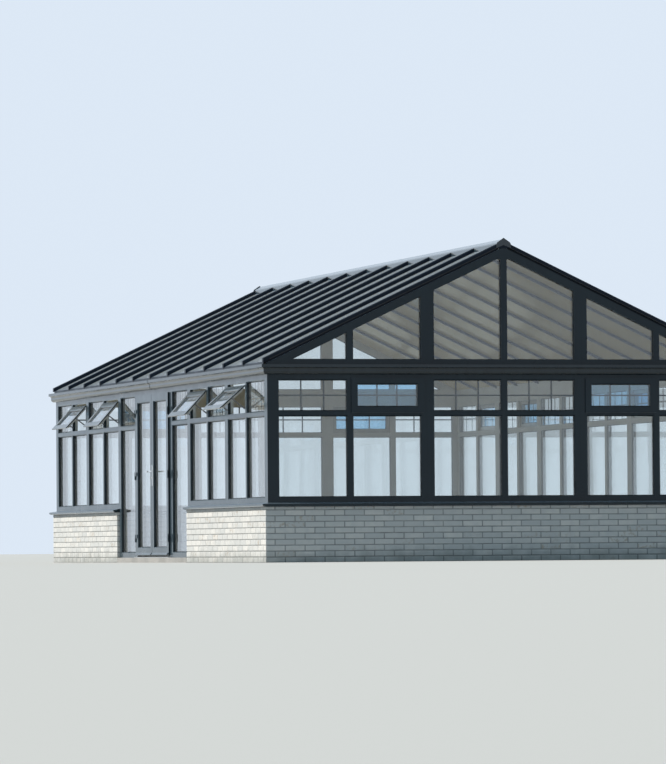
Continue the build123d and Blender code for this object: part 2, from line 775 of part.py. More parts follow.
def slope_strip(x0, x1, depth0, depth1):
    """Return the side view of a strip that follows the roof between two depths."""
    return upright_face([
        (x0, roof_z(x0, depth0)),
        (x1, roof_z(x1, depth0)),
        (x1, roof_z(x1, depth1)),
        (x0, roof_z(x0, depth1)),
    ])


def centred_strip(face, width):
    """Extrude a side view to both sides of its plane."""
    return Pos(0, -width / 2, 0) * extrude(face, amount=-width)


def build_roof():
    """Write the glazing bars and panels of both slopes."""
    ridge_edge = RIDGE_CAP_WIDTH / 2
    cap = centred_strip(slope_strip(ridge_edge, EAVES_HALF_SPAN, 0, CAP_HEIGHT), CAP_WIDTH)
    along_slope = cap.edges().group_by(SortBy.LENGTH)[-1]
    cap = chamfer(along_slope.sort_by(Axis.Z)[-2:], CAP_CHAMFER)
    neck = centred_strip(
        slope_strip(RIDGE_BEAM_WIDTH / 2, PANEL_HALF_SPAN, CAP_HEIGHT, PANEL_BOTTOM_DEPTH), NECK_WIDTH
    )
    web_end = HALF_WIDTH - FRAME_DEPTH
    web = centred_strip(
        slope_strip(RIDGE_BEAM_WIDTH / 2, web_end, PANEL_BOTTOM_DEPTH, WEB_BOTTOM_DEPTH), WEB_WIDTH
    )
    places = bar_positions()
    inner_bar = cap + neck + web
    end_bar = cap + neck
    bars = []
    for index, y in enumerate(places):
        at_gable = index in (0, BAR_SPACES)
        bars.append(Pos(0, y, 0) * (end_bar if at_gable else inner_bar))
    panels = []
    side = NECK_WIDTH / 2 + PANEL_SIDE_GAP
    for y0, y1 in zip(places, places[1:]):
        strip = slope_strip(PANEL_TOP_GAP, PANEL_HALF_SPAN, CAP_HEIGHT, PANEL_BOTTOM_DEPTH)
        panels.append(Pos(0, (y0 + y1) / 2, 0) * centred_strip(strip, y1 - y0 - 2 * side))
    save("roof_bars_right", bars)
    save("roof_panels_right", panels)
    save("roof_bars_left", [mirror(bar, Plane.YZ) for bar in bars])
    save("roof_panels_left", [mirror(panel, Plane.YZ) for panel in panels])


def build_ridge():
    """Write the ridge beam, the ridge cap and its end plates."""
    half_beam = RIDGE_BEAM_WIDTH / 2
    beam_outline = [
        (-half_beam, RIDGE_BEAM_BOTTOM),
        (half_beam, RIDGE_BEAM_BOTTOM),
        (half_beam, roof_z(half_beam, PANEL_BOTTOM_DEPTH)),
        (0, roof_z(0, PANEL_BOTTOM_DEPTH)),
        (-half_beam, roof_z(half_beam, PANEL_BOTTOM_DEPTH)),
    ]
    beam = centred_strip(upright_face(beam_outline), LENGTH - 2 * FRAME_DEPTH)
    save("ridge_beam", [beam])
    save("ridge_cap", [centred_strip(upright_face(ridge_hat(0)), LENGTH)])
    plates = []
    for wall in ("front", "back"):
        plate = extrude(upright_face(ridge_hat(RIDGE_END_LIP)), amount=RIDGE_END_THICKNESS)
        plates.append(WALLS[wall] * plate)
    save("ridge_ends", plates)


def ridge_hat(grow):
    """Return the outline of the ridge cap, a little larger for its end plates."""
    half = RIDGE_CAP_WIDTH / 2 + grow
    shoulder = RIDGE_SHOULDER_WIDTH / 2 + grow
    top = roof_z(0, 0) + RIDGE_CAP_RISE + grow
    brow = roof_z(RIDGE_SHOULDER_WIDTH / 2, 0) + RIDGE_SHOULDER_RISE
    foot = roof_z(RIDGE_CAP_WIDTH / 2, CAP_HEIGHT)
    return [
        (0, top),
        (shoulder, brow),
        (half, roof_z(half, 0)),
        (half, foot),
        (0, roof_z(0, CAP_HEIGHT)),
        (-half, foot),
        (-half, roof_z(half, 0)),
        (-shoulder, brow),
    ]


def main():
    os.makedirs("parts", exist_ok=True)
    build_base()
    build_sills()
    build_walls()
    build_posts()
    build_doors()
    build_ring()
    build_gables()
    build_gutters()
    build_fascias()
    build_roof()
    build_ridge()


main()
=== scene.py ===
"""Looks of a garden room: pale brick walls, anthracite frames, glass and a sheeted roof.

Every length is in metres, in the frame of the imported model. X runs across the
gable front, Y runs back along the ridge and Z is up. The doors face -X.
"""
from __future__ import annotations

import json
import logging
import math
import random
from dataclasses import dataclass, replace
from enum import Enum
from typing import Iterable, Sequence, Union

import bmesh
import bpy
from mathutils import Matrix, Vector

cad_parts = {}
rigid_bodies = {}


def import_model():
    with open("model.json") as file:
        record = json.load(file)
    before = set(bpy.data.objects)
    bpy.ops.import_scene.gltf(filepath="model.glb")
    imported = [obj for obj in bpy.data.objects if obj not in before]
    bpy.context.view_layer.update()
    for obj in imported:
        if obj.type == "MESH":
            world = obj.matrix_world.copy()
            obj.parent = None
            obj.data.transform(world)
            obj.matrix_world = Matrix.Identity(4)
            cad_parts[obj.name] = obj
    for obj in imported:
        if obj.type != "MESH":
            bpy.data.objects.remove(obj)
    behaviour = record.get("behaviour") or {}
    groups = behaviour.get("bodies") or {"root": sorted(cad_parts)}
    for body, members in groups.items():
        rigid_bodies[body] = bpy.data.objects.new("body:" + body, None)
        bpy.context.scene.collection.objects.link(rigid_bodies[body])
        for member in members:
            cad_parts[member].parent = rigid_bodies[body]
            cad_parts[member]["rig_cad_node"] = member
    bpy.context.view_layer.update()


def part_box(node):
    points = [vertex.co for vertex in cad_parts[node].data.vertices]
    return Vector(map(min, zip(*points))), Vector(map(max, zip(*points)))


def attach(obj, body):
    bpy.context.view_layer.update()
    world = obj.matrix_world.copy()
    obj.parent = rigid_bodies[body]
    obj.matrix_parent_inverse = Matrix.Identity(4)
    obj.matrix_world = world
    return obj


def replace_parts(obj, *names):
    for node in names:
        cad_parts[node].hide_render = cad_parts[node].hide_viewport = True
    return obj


LOG = logging.getLogger("garden_room")
MILLIMETRE = 0.001
# Points of a solid that lie closer than this are one point
WELD = 0.02 * MILLIMETRE
# How far a corner of a brick may wear, as a share of its chamfer
CORNER_WEAR = 0.45
# A pane whose face looks up by more than this stands open
OPEN_TILT = 0.1
# How far an open vent has slid down, and its depth as a share of the shut one's
VENT_DROP = 0.060
VENT_SLIMNESS = 0.62
Colour = tuple[float, float, float]
Point = tuple[float, float]
Ring = Sequence[Sequence[float]]
Value = Union[float, int, Sequence[float], bpy.types.NodeSocket]


class Side(Enum):
    """A wall, by the turn that brings the front wall's axes to it."""

    FRONT = 0
    RIGHT = 90
    BACK = 180
    LEFT = -90


class Recipe:
    """The nodes of a material or a world, with short calls for those that are used here."""

    def __init__(self, owner: Union[bpy.types.Material, bpy.types.World]) -> None:
        """Start with nothing but the output.

        Args:
            owner: The material or the world that is filled.
        """
        owner.use_nodes = True
        self.owner = owner
        self._tree = owner.node_tree
        self._tree.nodes.clear()
        kind = "World" if isinstance(owner, bpy.types.World) else "Material"
        self._output = self._tree.nodes.new(f"ShaderNodeOutput{kind}")

    def add(self, kind: str, settings: dict[str, object] | None = None, **inputs: Value) -> bpy.types.Node:
        """Add a node and fill its inputs.

        Args:
            kind: The type of the node.
            settings: Properties of the node itself.
            inputs: Values or sockets by input name, with _ for a space.

        Returns:
            The new node.
        """
        node = self._tree.nodes.new(kind)
        for key, setting in (settings or {}).items():
            setattr(node, key, setting)
        for key, value in inputs.items():
            self._feed(node.inputs[key.replace("_", " ")], value)
        return node

    def _feed(self, socket: bpy.types.NodeSocket, value: Value) -> None:
        """Link a socket to an input, or write a constant into it.

        Args:
            socket: The input.
            value: An output socket or a constant.
        """
        if isinstance(value, bpy.types.NodeSocket):
            self._tree.links.new(value, socket)
        elif socket.type == "RGBA":
            socket.default_value = (*value, 1.0)
        else:
            socket.default_value = value

    def place(self, stretch: Sequence[float] = (1, 1, 1)) -> bpy.types.NodeSocket:
        """Give the position on the object in metres, stretched along its axes.

        Args:
            stretch: A factor for each axis.

        Returns:
            The position socket.
        """
        coordinates = self.add("ShaderNodeTexCoord").outputs["Object"]
        mapping = self.add("ShaderNodeMapping", Vector=coordinates, Scale=stretch)
        return mapping.outputs["Vector"]

    def noise(
        self, scale: float, detail: float = 3.0, stretch: Sequence[float] = (1, 1, 1)
    ) -> bpy.types.NodeSocket:
        """Give a noise value around one half, with cells to a metre and layers of finer detail."""
        node = self.add("ShaderNodeTexNoise", Vector=self.place(stretch), Scale=scale, Detail=detail)
        return node.outputs["Fac"]

    def spread(self, value: bpy.types.NodeSocket, source: Point, target: Point) -> bpy.types.NodeSocket:
        """Map one range of a value to another, clamped.

        Args:
            value: The value to map.
            source: The range that is read.
            target: The range that is given.

        Returns:
            The mapped value socket.
        """
        node = self.add("ShaderNodeMapRange", Value=value)
        for index, bound in enumerate((*source, *target), start=1):
            node.inputs[index].default_value = bound
        return node.outputs["Result"]

    def patches(
        self, scale: float, detail: float, source: Point, target: Point, stretch: Sequence[float] = (1, 1, 1)
    ) -> bpy.types.NodeSocket:
        """Give noise with one range of its values spread to another."""
        return self.spread(self.noise(scale, detail, stretch), source, target)

    def combine(self, first: Value, second: Value, operation: str = "ADD") -> bpy.types.NodeSocket:
        """Add two values, or combine them in another way.

        Args:
            first: The first value or socket.
            second: The second value or socket.
            operation: The name of the operation.

        Returns:
            The result socket.
        """
        node = self.add("ShaderNodeMath", {"operation": operation})
        self._feed(node.inputs[0], first)
        self._feed(node.inputs[1], second)
        return node.outputs[0]

    def blend(self, share: Value, first: Value, second: Value) -> bpy.types.NodeSocket:
        """Mix two colours.

        Args:
            share: How much of the second colour shows.
            first: A colour or socket.
            second: A colour or socket.

        Returns:
            The colour socket.
        """
        node = self.add("ShaderNodeMix", {"data_type": "RGBA"})
        self._feed(node.inputs[0], share)
        self._feed(node.inputs[6], first)
        self._feed(node.inputs[7], second)
        return node.outputs[2]

    def height(self) -> bpy.types.NodeSocket:
        """Give the height above the ground in metres."""
        return self.add("ShaderNodeSeparateXYZ", Vector=self.place()).outputs["Z"]

    def facing_up(self) -> bpy.types.NodeSocket:
        """Give a value for ledges.

        Returns:
            The value socket: 1 on faces that look up and 0 on upright ones.
        """
        normal = self.add("ShaderNodeNewGeometry").outputs["Normal"]
        level = self.add("ShaderNodeSeparateXYZ", Vector=normal).outputs["Z"]
        return self.spread(level, (0.3, 0.95), (0.0, 1.0))

    def island(self) -> bpy.types.NodeSocket:
        """Give a random value for each separate solid of a piece."""
        return self.add("ShaderNodeNewGeometry").outputs["Random Per Island"]

    def seen(self) -> bpy.types.NodeSocket:
        """Give a value for what the camera sees, straight, in a mirror or through glass.

        Returns:
            The value socket: 1 for such a ray and 0 for light that is scattered.
        """
        path = self.add("ShaderNodeLightPath").outputs
        straight = self.combine(path["Is Camera Ray"], path["Is Glossy Ray"], "MAXIMUM")
        return self.combine(straight, path["Is Transmission Ray"], "MAXIMUM")

    def relief(self, height: Value, depth: float, strength: float = 1.0) -> bpy.types.NodeSocket:
        """Turn a value from 0 to 1 into a normal with bumps of a depth in metres."""
        node = self.add("ShaderNodeBump", Height=height, Distance=depth, Strength=strength)
        return node.outputs["Normal"]

    def principled(self, **inputs: Value) -> bpy.types.NodeSocket:
        """Add the main shader and give its output."""
        return self.add("ShaderNodeBsdfPrincipled", **inputs).outputs["BSDF"]

    def mix(self, share: Value, first: Value, second: Value) -> bpy.types.NodeSocket:
        """Mix two shaders.

        Args:
            share: How much of the second shader shows.
            first: The first shader.
            second: The second shader.

        Returns:
            The shader socket.
        """
        node = self.add("ShaderNodeMixShader")
        for socket, value in zip(node.inputs, (share, first, second)):
            self._feed(socket, value)
        return node.outputs[0]

    def show(self, shader: bpy.types.NodeSocket) -> None:
        """Make a shader the surface."""
        self._tree.links.new(shader, self._output.inputs["Surface"])


@dataclass(frozen=True)
class Finish:
    """A surface finish. Each kind mixes its own node material."""

    name: str
    slot: str

    def material(self) -> bpy.types.Material:
        """Give the finish's material, made once.

        Returns:
            The material.
        """
        found = bpy.data.materials.get(self.name)
        if found is None:
            found = bpy.data.materials.new(self.name)
            self.mix(Recipe(found))
        return found

    def mix(self, recipe: Recipe) -> None:
        """Fill the recipe. Each kind of finish does this in its own way."""
        raise NotImplementedError


@dataclass(frozen=True)
class Coating(Finish):
    """Powder coating: fine orange peel, faint rain runs and dust on ledges."""

    colour: Colour = (0.0045, 0.0145, 0.0215)
    worn: Colour = (0.009, 0.022, 0.030)
    dust: Colour = (0.20, 0.20, 0.18)
    dust_share: float = 0.25
    roughness: Point = (0.26, 0.40)
    shine: float = 0.10
    chalk: float = 0.50
    chalk_spread: float = 0.30
    chalk_tint: Colour = (0.66, 0.84, 1.0)
    lacquer: float = 1.0
    lacquer_index: float = 1.28
    lacquer_roughness: float = 0.12
    peel: float = 0.00012

    def mix(self, recipe: Recipe) -> None:
        """Show the weathered coating."""
        recipe.show(self.coat(recipe))

    def coat(self, recipe: Recipe) -> bpy.types.NodeSocket:
        """Mix weathering into the colour and the gloss.

        Args:
            recipe: The material to fill.

        Returns:
            The shader socket.
        """
        cloud = recipe.noise(1.3, 5)
        runs = recipe.noise(14, 4, (1, 1, 0.06))
        weather = recipe.combine(cloud, runs, "MULTIPLY")
        colour = recipe.blend(recipe.spread(weather, (0.16, 0.42), (0, 1)), self.colour, self.worn)
        patches = recipe.patches(9, 5, (0.3, 0.7), (0.3, 1))
        ledge = recipe.combine(recipe.facing_up(), patches, "MULTIPLY")
        settled = recipe.combine(ledge, self.dust_share, "MULTIPLY")
        colour = recipe.blend(settled, colour, self.dust)
        rough = recipe.patches(3.1, 6, (0.3, 0.7), self.roughness)
        normal = recipe.relief(recipe.noise(420, 2), self.peel)
        return recipe.principled(
            Base_Color=colour,
            Roughness=rough,
            Specular_IOR_Level=self.shine,
            Sheen_Weight=self.chalk,
            Sheen_Roughness=self.chalk_spread,
            Sheen_Tint=self.chalk_tint,
            Coat_Weight=self.lacquer,
            Coat_IOR=self.lacquer_index,
            Coat_Roughness=self.lacquer_roughness,
            Normal=normal,
        )


@dataclass(frozen=True)
class LinedCoating(Coating):
    """The same coating on the outside of a frame whose room side is plain white."""

    inner: Colour = (0.88, 0.88, 0.85)
    inner_shade: Colour = (0.78, 0.78, 0.75)
    inner_roughness: float = 0.38
    line: Point = (2.830, 5.635)

    def mix(self, recipe: Recipe) -> None:
        """Mix the coating and the white side, parted at the glass line.

        Args:
            recipe: The material to fill.
        """
        spot = recipe.add("ShaderNodeSeparateXYZ", Vector=recipe.place()).outputs
        room_side: Value = 1.0
        for axis, limit in zip("XY", self.line):
            reach = recipe.combine(spot[axis], 0.0, "ABSOLUTE")
            room_side = recipe.combine(room_side, recipe.combine(reach, limit, "LESS_THAN"), "MULTIPLY")
        cloud = recipe.patches(2.4, 5, (0.35, 0.7), (0, 1))
        colour = recipe.blend(cloud, self.inner, self.inner_shade)
        normal = recipe.relief(recipe.noise(300, 2), self.peel)
        plain = recipe.principled(Base_Color=colour, Roughness=self.inner_roughness, Normal=normal)
        recipe.show(recipe.mix(room_side, self.coat(recipe), plain))


@dataclass(frozen=True)
class FacingBrick(Finish):
    """Pale wire-cut brick that differs from one brick to the next."""

    pale: Colour = (0.77, 0.745, 0.70)
    grey: Colour = (0.57, 0.58, 0.57)
    tan: Colour = (0.46, 0.385, 0.30)
    # The colour, height and uneven edge of the band that darkens the wall towards the ground
    foot_tone: Colour = (0.32, 0.33, 0.31)
    foot_tone_height: float = 0.16
    foot_tone_edge: Point = (-0.06, 0.06)
    shuffle: float = 7.31
    burnt_share: Point = (0.82, 0.9)
    pit_depth: float = 0.0035

    def mix(self, recipe: Recipe) -> None:
        """Mix brick-to-brick shades, burnt patches, pits and a darker band towards the ground.

        Args:
            recipe: The material to fill.
        """
        each = recipe.island()
        colour = recipe.blend(recipe.spread(each, (0, 1), (0, 0.85)), self.pale, self.grey)
        cloud = recipe.patches(11, 6, (0.35, 0.7), (0, 0.55))
        colour = recipe.blend(cloud, colour, self.grey)
        whole = (0, self.shuffle)
        odd = recipe.spread(recipe.combine(each, self.shuffle, "MULTIPLY"), whole, whole)
        burnt = recipe.spread(recipe.combine(odd, 1.0, "MODULO"), self.burnt_share, (0, 1))
        patch = recipe.patches(24, 5, (0.5, 0.66), (0, 0.8))
        colour = recipe.blend(recipe.combine(burnt, patch, "MULTIPLY"), colour, self.tan)
        specks = recipe.patches(190, 3, (0.6, 0.72), (0, 0.45))
        colour = recipe.blend(specks, colour, self.grey)
        # Darker towards the ground, up to the band's height, with an uneven edge
        foot = recipe.combine(recipe.height(), recipe.patches(6, 5, (0.3, 0.7), self.foot_tone_edge))
        foot_share = recipe.spread(foot, (0, self.foot_tone_height), (0.75, 0))
        colour = recipe.blend(foot_share, colour, self.foot_tone)
        pits = recipe.combine(recipe.noise(95, 5), recipe.noise(430, 3), "MULTIPLY")
        normal = recipe.relief(pits, self.pit_depth, 0.8)
        rough = recipe.patches(30, 4, (0.3, 0.7), (0.78, 0.95))
        recipe.show(recipe.principled(Base_Color=colour, Roughness=rough, Normal=normal))


@dataclass(frozen=True)
class Mortar(Finish):
    """Raked sandy mortar, greyer than the brick and darker towards the ground."""

    sand: Colour = (0.42, 0.42, 0.405)
    shade: Colour = (0.30, 0.305, 0.30)
    # The colour and height of the band that darkens the mortar towards the ground
    foot_tone: Colour = (0.19, 0.195, 0.18)
    foot_tone_height: float = 0.16
    grain_depth: float = 0.002
    roughness: float = 0.94

    def mix(self, recipe: Recipe) -> None:
        """Mix sand grains and a darker band towards the ground.

        Args:
            recipe: The material to fill.
        """
        colour = recipe.blend(recipe.patches(8, 6, (0.35, 0.65), (0, 1)), self.sand, self.shade)
        grains = recipe.noise(640, 2)
        colour = recipe.blend(recipe.spread(grains, (0.4, 0.7), (0, 0.4)), colour, self.shade)
        # Darker towards the ground, up to the band's height
        foot_share = recipe.spread(recipe.height(), (0, self.foot_tone_height), (0.8, 0))
        colour = recipe.blend(foot_share, colour, self.foot_tone)
        normal = recipe.relief(grains, self.grain_depth)
        recipe.show(recipe.principled(Base_Color=colour, Roughness=self.roughness, Normal=normal))


@dataclass(frozen=True)
class ClearGlass(Finish):
    """A sealed unit: clear with a faint tint, and more of a mirror at a low angle."""

    tint: Colour = (0.925, 0.945, 0.94)
    mirror: float = 0.08
    steepness: float = 3.5
    polish: float = 0.01
    wave_depth: float = 0.004
    film: float = 0.03
    film_colour: Colour = (0.7, 0.72, 0.7)

    def mix(self, recipe: Recipe) -> None:
        """Mix a see-through shader with a mirror that grows at low angles.

        Args:
            recipe: The material to fill.
        """
        low_angle = recipe.add("ShaderNodeLayerWeight", Blend=0.5).outputs["Facing"]
        rise = recipe.combine(low_angle, self.steepness, "POWER")
        share = recipe.spread(rise, (0, 1), (self.mirror, 1))
        wave = recipe.relief(recipe.noise(1.1, 1), self.wave_depth, 0.25)
        clear = recipe.add("ShaderNodeBsdfTransparent", Color=self.tint).outputs[0]
        mirror = recipe.add("ShaderNodeBsdfGlossy", Color=(1, 1, 1), Roughness=self.polish, Normal=wave)
        shader = recipe.mix(share, clear, mirror.outputs[0])
        haze = recipe.add("ShaderNodeBsdfDiffuse", Color=self.film_colour).outputs[0]
        rain = recipe.patches(7, 6, (0.35, 0.75), (0, self.film), (1, 1, 0.25))
        recipe.show(recipe.mix(rain, shader, haze))


@dataclass(frozen=True)
class FlutedSheet(Finish):
    """Opal multiwall sheet, with flutes down the slope and light showing through."""

    # outside and flute are pale blue: a painted reflection of the sky that the top face shows at a low angle,
    # put into the sheet's colour
    outside: Colour = (0.63, 0.75, 0.87)
    flute: Colour = (0.48, 0.59, 0.71)
    through: Colour = (0.45, 0.385, 0.21)
    # Painted light: the warm glow of sun through the sheet, as seen from below, put into the colour of faces
    # that look down
    underside_painted_light: Colour = (0.46, 0.37, 0.19)
    pitch: float = 0.016
    seam_share: float = 0.12
    seam_weight: float = 0.7
    seam_depth: float = 0.0008
    glow: float = 0.42
    roughness: float = 0.09
    shine: float = 0.75

    def mix(self, recipe: Recipe) -> None:
        """Mix flute lines, dust, the painted sky reflection of the top face, the painted light of the
        underside and the light that comes through.

        Args:
            recipe: The material to fill.
        """
        along = recipe.add("ShaderNodeSeparateXYZ", Vector=recipe.place()).outputs["Y"]
        turn = recipe.combine(recipe.combine(along, 1 / self.pitch, "MULTIPLY"), 1.0, "FLOORED_MODULO")
        seam = recipe.spread(turn, (self.seam_share, 2 * self.seam_share), (1, 0))
        dirt = recipe.patches(2.2, 6, (0.35, 0.75), (0, 0.35), (1, 2.5, 1))
        # Painted reflection: the pale blue of the top face stands for the sky it reflects
        colour = recipe.blend(recipe.combine(seam, self.seam_weight, "MULTIPLY"), self.outside, self.flute)
        colour = recipe.blend(dirt, colour, self.flute)
        facing = recipe.add("ShaderNodeTexCoord").outputs["Normal"]
        upwards = recipe.add("ShaderNodeSeparateXYZ", Vector=facing).outputs["Z"]
        # Faces that look down take the painted light colour of the underside
        colour = recipe.blend(recipe.combine(upwards, 0.0, "LESS_THAN"), colour, self.underside_painted_light)
        normal = recipe.relief(seam, self.seam_depth, 0.6)
        skin = recipe.principled(
            Base_Color=colour, Roughness=self.roughness, Specular_IOR_Level=self.shine, Normal=normal
        )
        veil = recipe.add("ShaderNodeBsdfTranslucent", Color=self.through).outputs[0]
        recipe.show(recipe.mix(self.glow, skin, veil))


@dataclass(frozen=True)
class BareMetal(Finish):
    """Bright or brushed metal with fine scratches and finger marks."""

    colour: Colour = (0.83, 0.83, 0.82)
    roughness: Point = (0.08, 0.22)
    grain: Sequence[float] = (1, 1, 30)
    scratch_depth: float = 0.00006

    def mix(self, recipe: Recipe) -> None:
        """Mix scratches into the gloss.

        Args:
            recipe: The material to fill.
        """
        marks = recipe.patches(60, 5, (0.35, 0.7), self.roughness)
        normal = recipe.relief(recipe.noise(55, 3, self.grain), self.scratch_depth)
        recipe.show(recipe.principled(Base_Color=self.colour, Metallic=1.0, Roughness=marks, Normal=normal))


@dataclass(frozen=True)
class Rubber(Finish):
    """Black glazing gasket with a little chalk on it."""

    colour: Colour = (0.010, 0.011, 0.012)
    chalk: Colour = (0.06, 0.06, 0.06)
    skin_depth: float = 0.0002
    roughness: float = 0.62

    def mix(self, recipe: Recipe) -> None:
        """Mix chalky patches.

        Args:
            recipe: The material to fill.
        """
        bloom = recipe.patches(35, 5, (0.45, 0.75), (0, 0.6))
        colour = recipe.blend(bloom, self.colour, self.chalk)
        normal = recipe.relief(recipe.noise(500, 2), self.skin_depth)
        recipe.show(recipe.principled(Base_Color=colour, Roughness=self.roughness, Normal=normal))


@dataclass(frozen=True)
class Screed(Finish):
    """Power-floated concrete with a soft mottle."""

    pale: Colour = (0.40, 0.385, 0.36)
    dark: Colour = (0.27, 0.265, 0.25)
    grit_depth: float = 0.0012

    def mix(self, recipe: Recipe) -> None:
        """Mix mottling and fine grit.

        Args:
            recipe: The material to fill.
        """
        mottle = recipe.patches(1.9, 8, (0.35, 0.65), (0, 1))
        colour = recipe.blend(mottle, self.pale, self.dark)
        normal = recipe.relief(recipe.noise(160, 4), self.grit_depth)
        rough = recipe.patches(4, 5, (0.3, 0.7), (0.5, 0.8))
        recipe.show(recipe.principled(Base_Color=colour, Roughness=rough, Normal=normal))


class Sketch:
    """Gathers the solids of one piece before they become a mesh."""

    def __init__(self) -> None:
        """Start with no points and no faces."""
        self._points: list[Vector] = []
        self._faces: list[tuple[int, ...]] = []

    def add(self, place: Matrix, points: Iterable[Sequence[float]], faces: Iterable[Sequence[int]]) -> None:
        """Add points and faces in the axes of a place.

        Args:
            place: The matrix from those axes to the model's.
            points: The points.
            faces: Rings of point numbers.
        """
        first = len(self._points)
        self._points.extend(place @ Vector(point) for point in points)
        self._faces.extend(tuple(first + index for index in face) for face in faces)

    def box(self, place: Matrix, low: Sequence[float], high: Sequence[float]) -> None:
        """Add a box between its lowest and its highest corner, in the axes of a place."""
        outline = [(low[0], low[1]), (high[0], low[1]), (high[0], high[1]), (low[0], high[1])]
        self.prism(place, outline, low[2], high[2])

    def prism(self, place: Matrix, outline: Sequence[Point], low: float, high: float) -> None:
        """Add an outline in X and Y, raised along Z in the axes of a place."""
        self.loft(place, *([(*point, level) for point in outline] for level in (low, high)))

    def loft(self, place: Matrix, first: Ring, second: Ring) -> None:
        """Add a solid between two rings of as many corners.

        Args:
            place: The matrix to the model's axes.
            first: The corners of one end.
            second: The corners of the other end, in the same order.
        """
        count = len(first)
        sides = [(i, (i + 1) % count, count + (i + 1) % count, count + i) for i in range(count)]
        self.add(place, [*first, *second], [*sides, tuple(range(count)), tuple(range(count, 2 * count))])

    def eased_box(self, place: Matrix, low: Vector, high: Vector, edge: float, wobble: random.Random) -> None:
        """Add a box with chamfered and a little uneven edges.

        Args:
            place: The matrix to the model's axes.
            low: The lowest corner.
            high: The highest corner.
            edge: The width of the chamfer.
            wobble: The source of the unevenness.
        """
        centre = (low + high) / 2
        half = (high - low) / 2
        points: list[Vector] = []
        number: dict[tuple[int, int, int, int], int] = {}
        signs = [(x, y, z) for x in (-1, 1) for y in (-1, 1) for z in (-1, 1)]
        for sign in signs:
            for face in range(3):
                reach = [half[axis] - (0 if axis == face else edge) for axis in range(3)]
                slip = [-wobble.random() * edge * CORNER_WEAR for _ in range(3)]
                offset = Vector([sign[axis] * (reach[axis] + slip[axis]) for axis in range(3)])
                number[(*sign, face)] = len(points)
                points.append(centre + offset)
        faces = [tuple(number[(*sign, face)] for face in range(3)) for sign in signs]
        for face in range(3):
            first, second = [axis for axis in range(3) if axis != face]
            for side in (-1, 1):
                ring = []
                for a, b in ((-1, -1), (1, -1), (1, 1), (-1, 1)):
                    sign = [0, 0, 0]
                    sign[face], sign[first], sign[second] = side, a, b
                    ring.append(number[(*sign, face)])
                faces.append(tuple(ring))
            for a, b in ((-1, -1), (1, -1), (1, 1), (-1, 1)):
                ends = []
                for side in (-1, 1):
                    sign = [0, 0, 0]
                    sign[face], sign[first], sign[second] = side, a, b
                    ends.append(sign)
                faces.append((
                    number[(*ends[0], first)],
                    number[(*ends[1], first)],
                    number[(*ends[1], second)],
                    number[(*ends[0], second)],
                ))
        self.add(place, points, faces)

    def ring(self, place: Matrix, outline: Sequence[Point], width: float, low: float, high: float) -> None:
        """Add a flat ring inside a convex outline.

        Args:
            place: The matrix to the model's axes, with the outline in X and Y.
            outline: The outer corners, anticlockwise.
            width: The width of the ring.
            low: Where it starts along Z.
            high: Where it ends along Z.
        """
        inner = inset(outline, width)
        count = len(outline)
        points = [(*p, level) for level in (low, high) for ring in (outline, inner) for p in ring]
        faces = []
        for i in range(count):
            j = (i + 1) % count
            outer_low, inner_low, outer_high, inner_high = (step * count for step in range(4))
            faces.append((outer_low + i, outer_low + j, inner_low + j, inner_low + i))
            faces.append((outer_high + i, outer_high + j, inner_high + j, inner_high + i))
            faces.append((outer_low + i, outer_low + j, outer_high + j, outer_high + i))
            faces.append((inner_low + i, inner_low + j, inner_high + j, inner_high + i))
        self.add(place, points, faces)

    def disc(self, place: Matrix, radius: float, low: float, high: float, sides: int = 20) -> None:
        """Add a short round bar along Z, with flats that stand for the round."""
        turns = [2 * math.pi * step / sides for step in range(sides)]
        self.prism(place, [(radius * math.cos(t), radius * math.sin(t)) for t in turns], low, high)

    def piece(self, name: str, finish: Finish, body: str = "root") -> bpy.types.Object:
        """Make the mesh, give it its finish and let it ride on a body.

        Args:
            name: The name of the piece.
            finish: Its finish.
            body: The body that it moves with.

        Returns:
            The new object.
        """
        mesh = bpy.data.meshes.new(name)
        mesh.from_pydata(self._points, [], self._faces)
        shape = bmesh.new()
        shape.from_mesh(mesh)
        bmesh.ops.recalc_face_normals(shape, faces=shape.faces)
        shape.to_mesh(mesh)
        shape.free()
        return stand(mesh, (finish,), body)


def stand(mesh: bpy.types.Mesh, finishes: Sequence[Finish], body: str = "root") -> bpy.types.Object:
    """Give a mesh its finishes and let it ride on a body.

    Args:
        mesh: The mesh, which gives the piece its name.
        finishes: The finishes that its faces are numbered by.
        body: The body that it moves with.

    Returns:
        The new object.
    """
    for finish in finishes:
        mesh.materials.append(finish.material())
    made = bpy.data.objects.new(mesh.name, mesh)
    bpy.context.scene.collection.objects.link(made)
    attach(made, body)
    LOG.info("%s: %d faces", mesh.name, len(mesh.polygons))
    return made


def inset(outline: Sequence[Point], width: float) -> list[Point]:
    """Move the edges of a convex outline inwards.

    Args:
        outline: The corners, anticlockwise.
        width: How far the edges move.

    Returns:
        The corners of the smaller outline.
    """
    moved = []
    count = len(outline)
    for i in range(count):
        before, corner, after = (Vector(outline[(i + step) % count]) for step in (-1, 0, 1))
        first = (corner - before).normalized()
        second = (after - corner).normalized()
        bisector = Vector((-first.y - second.y, first.x + second.x))
        reach = width / (bisector.length / 2) ** 2 / 2
        moved.append(tuple(corner + bisector * reach))
    return moved


@dataclass(frozen=True)
class Pane:
    """One sheet of glass: a place on its outer face and its outline there."""

    place: Matrix
    outline: tuple[Point, ...]
    thickness: float
    rebate: float = 0.009

    def sight(self) -> list[Point]:
        """Give the outline that shows between the frame's members."""
        return inset(self.outline, self.rebate)

    def is_open(self) -> bool:
        """Tell whether the pane stands open, so that its face looks up."""
        return self.place.col[2].z > OPEN_TILT

    def size(self) -> Point:
        """Measure the whole sheet.

        Returns:
            The width and the height.
        """
        across = [point[0] for point in self.outline]
        up = [point[1] for point in self.outline]
        return max(across) - min(across), max(up) - min(up)


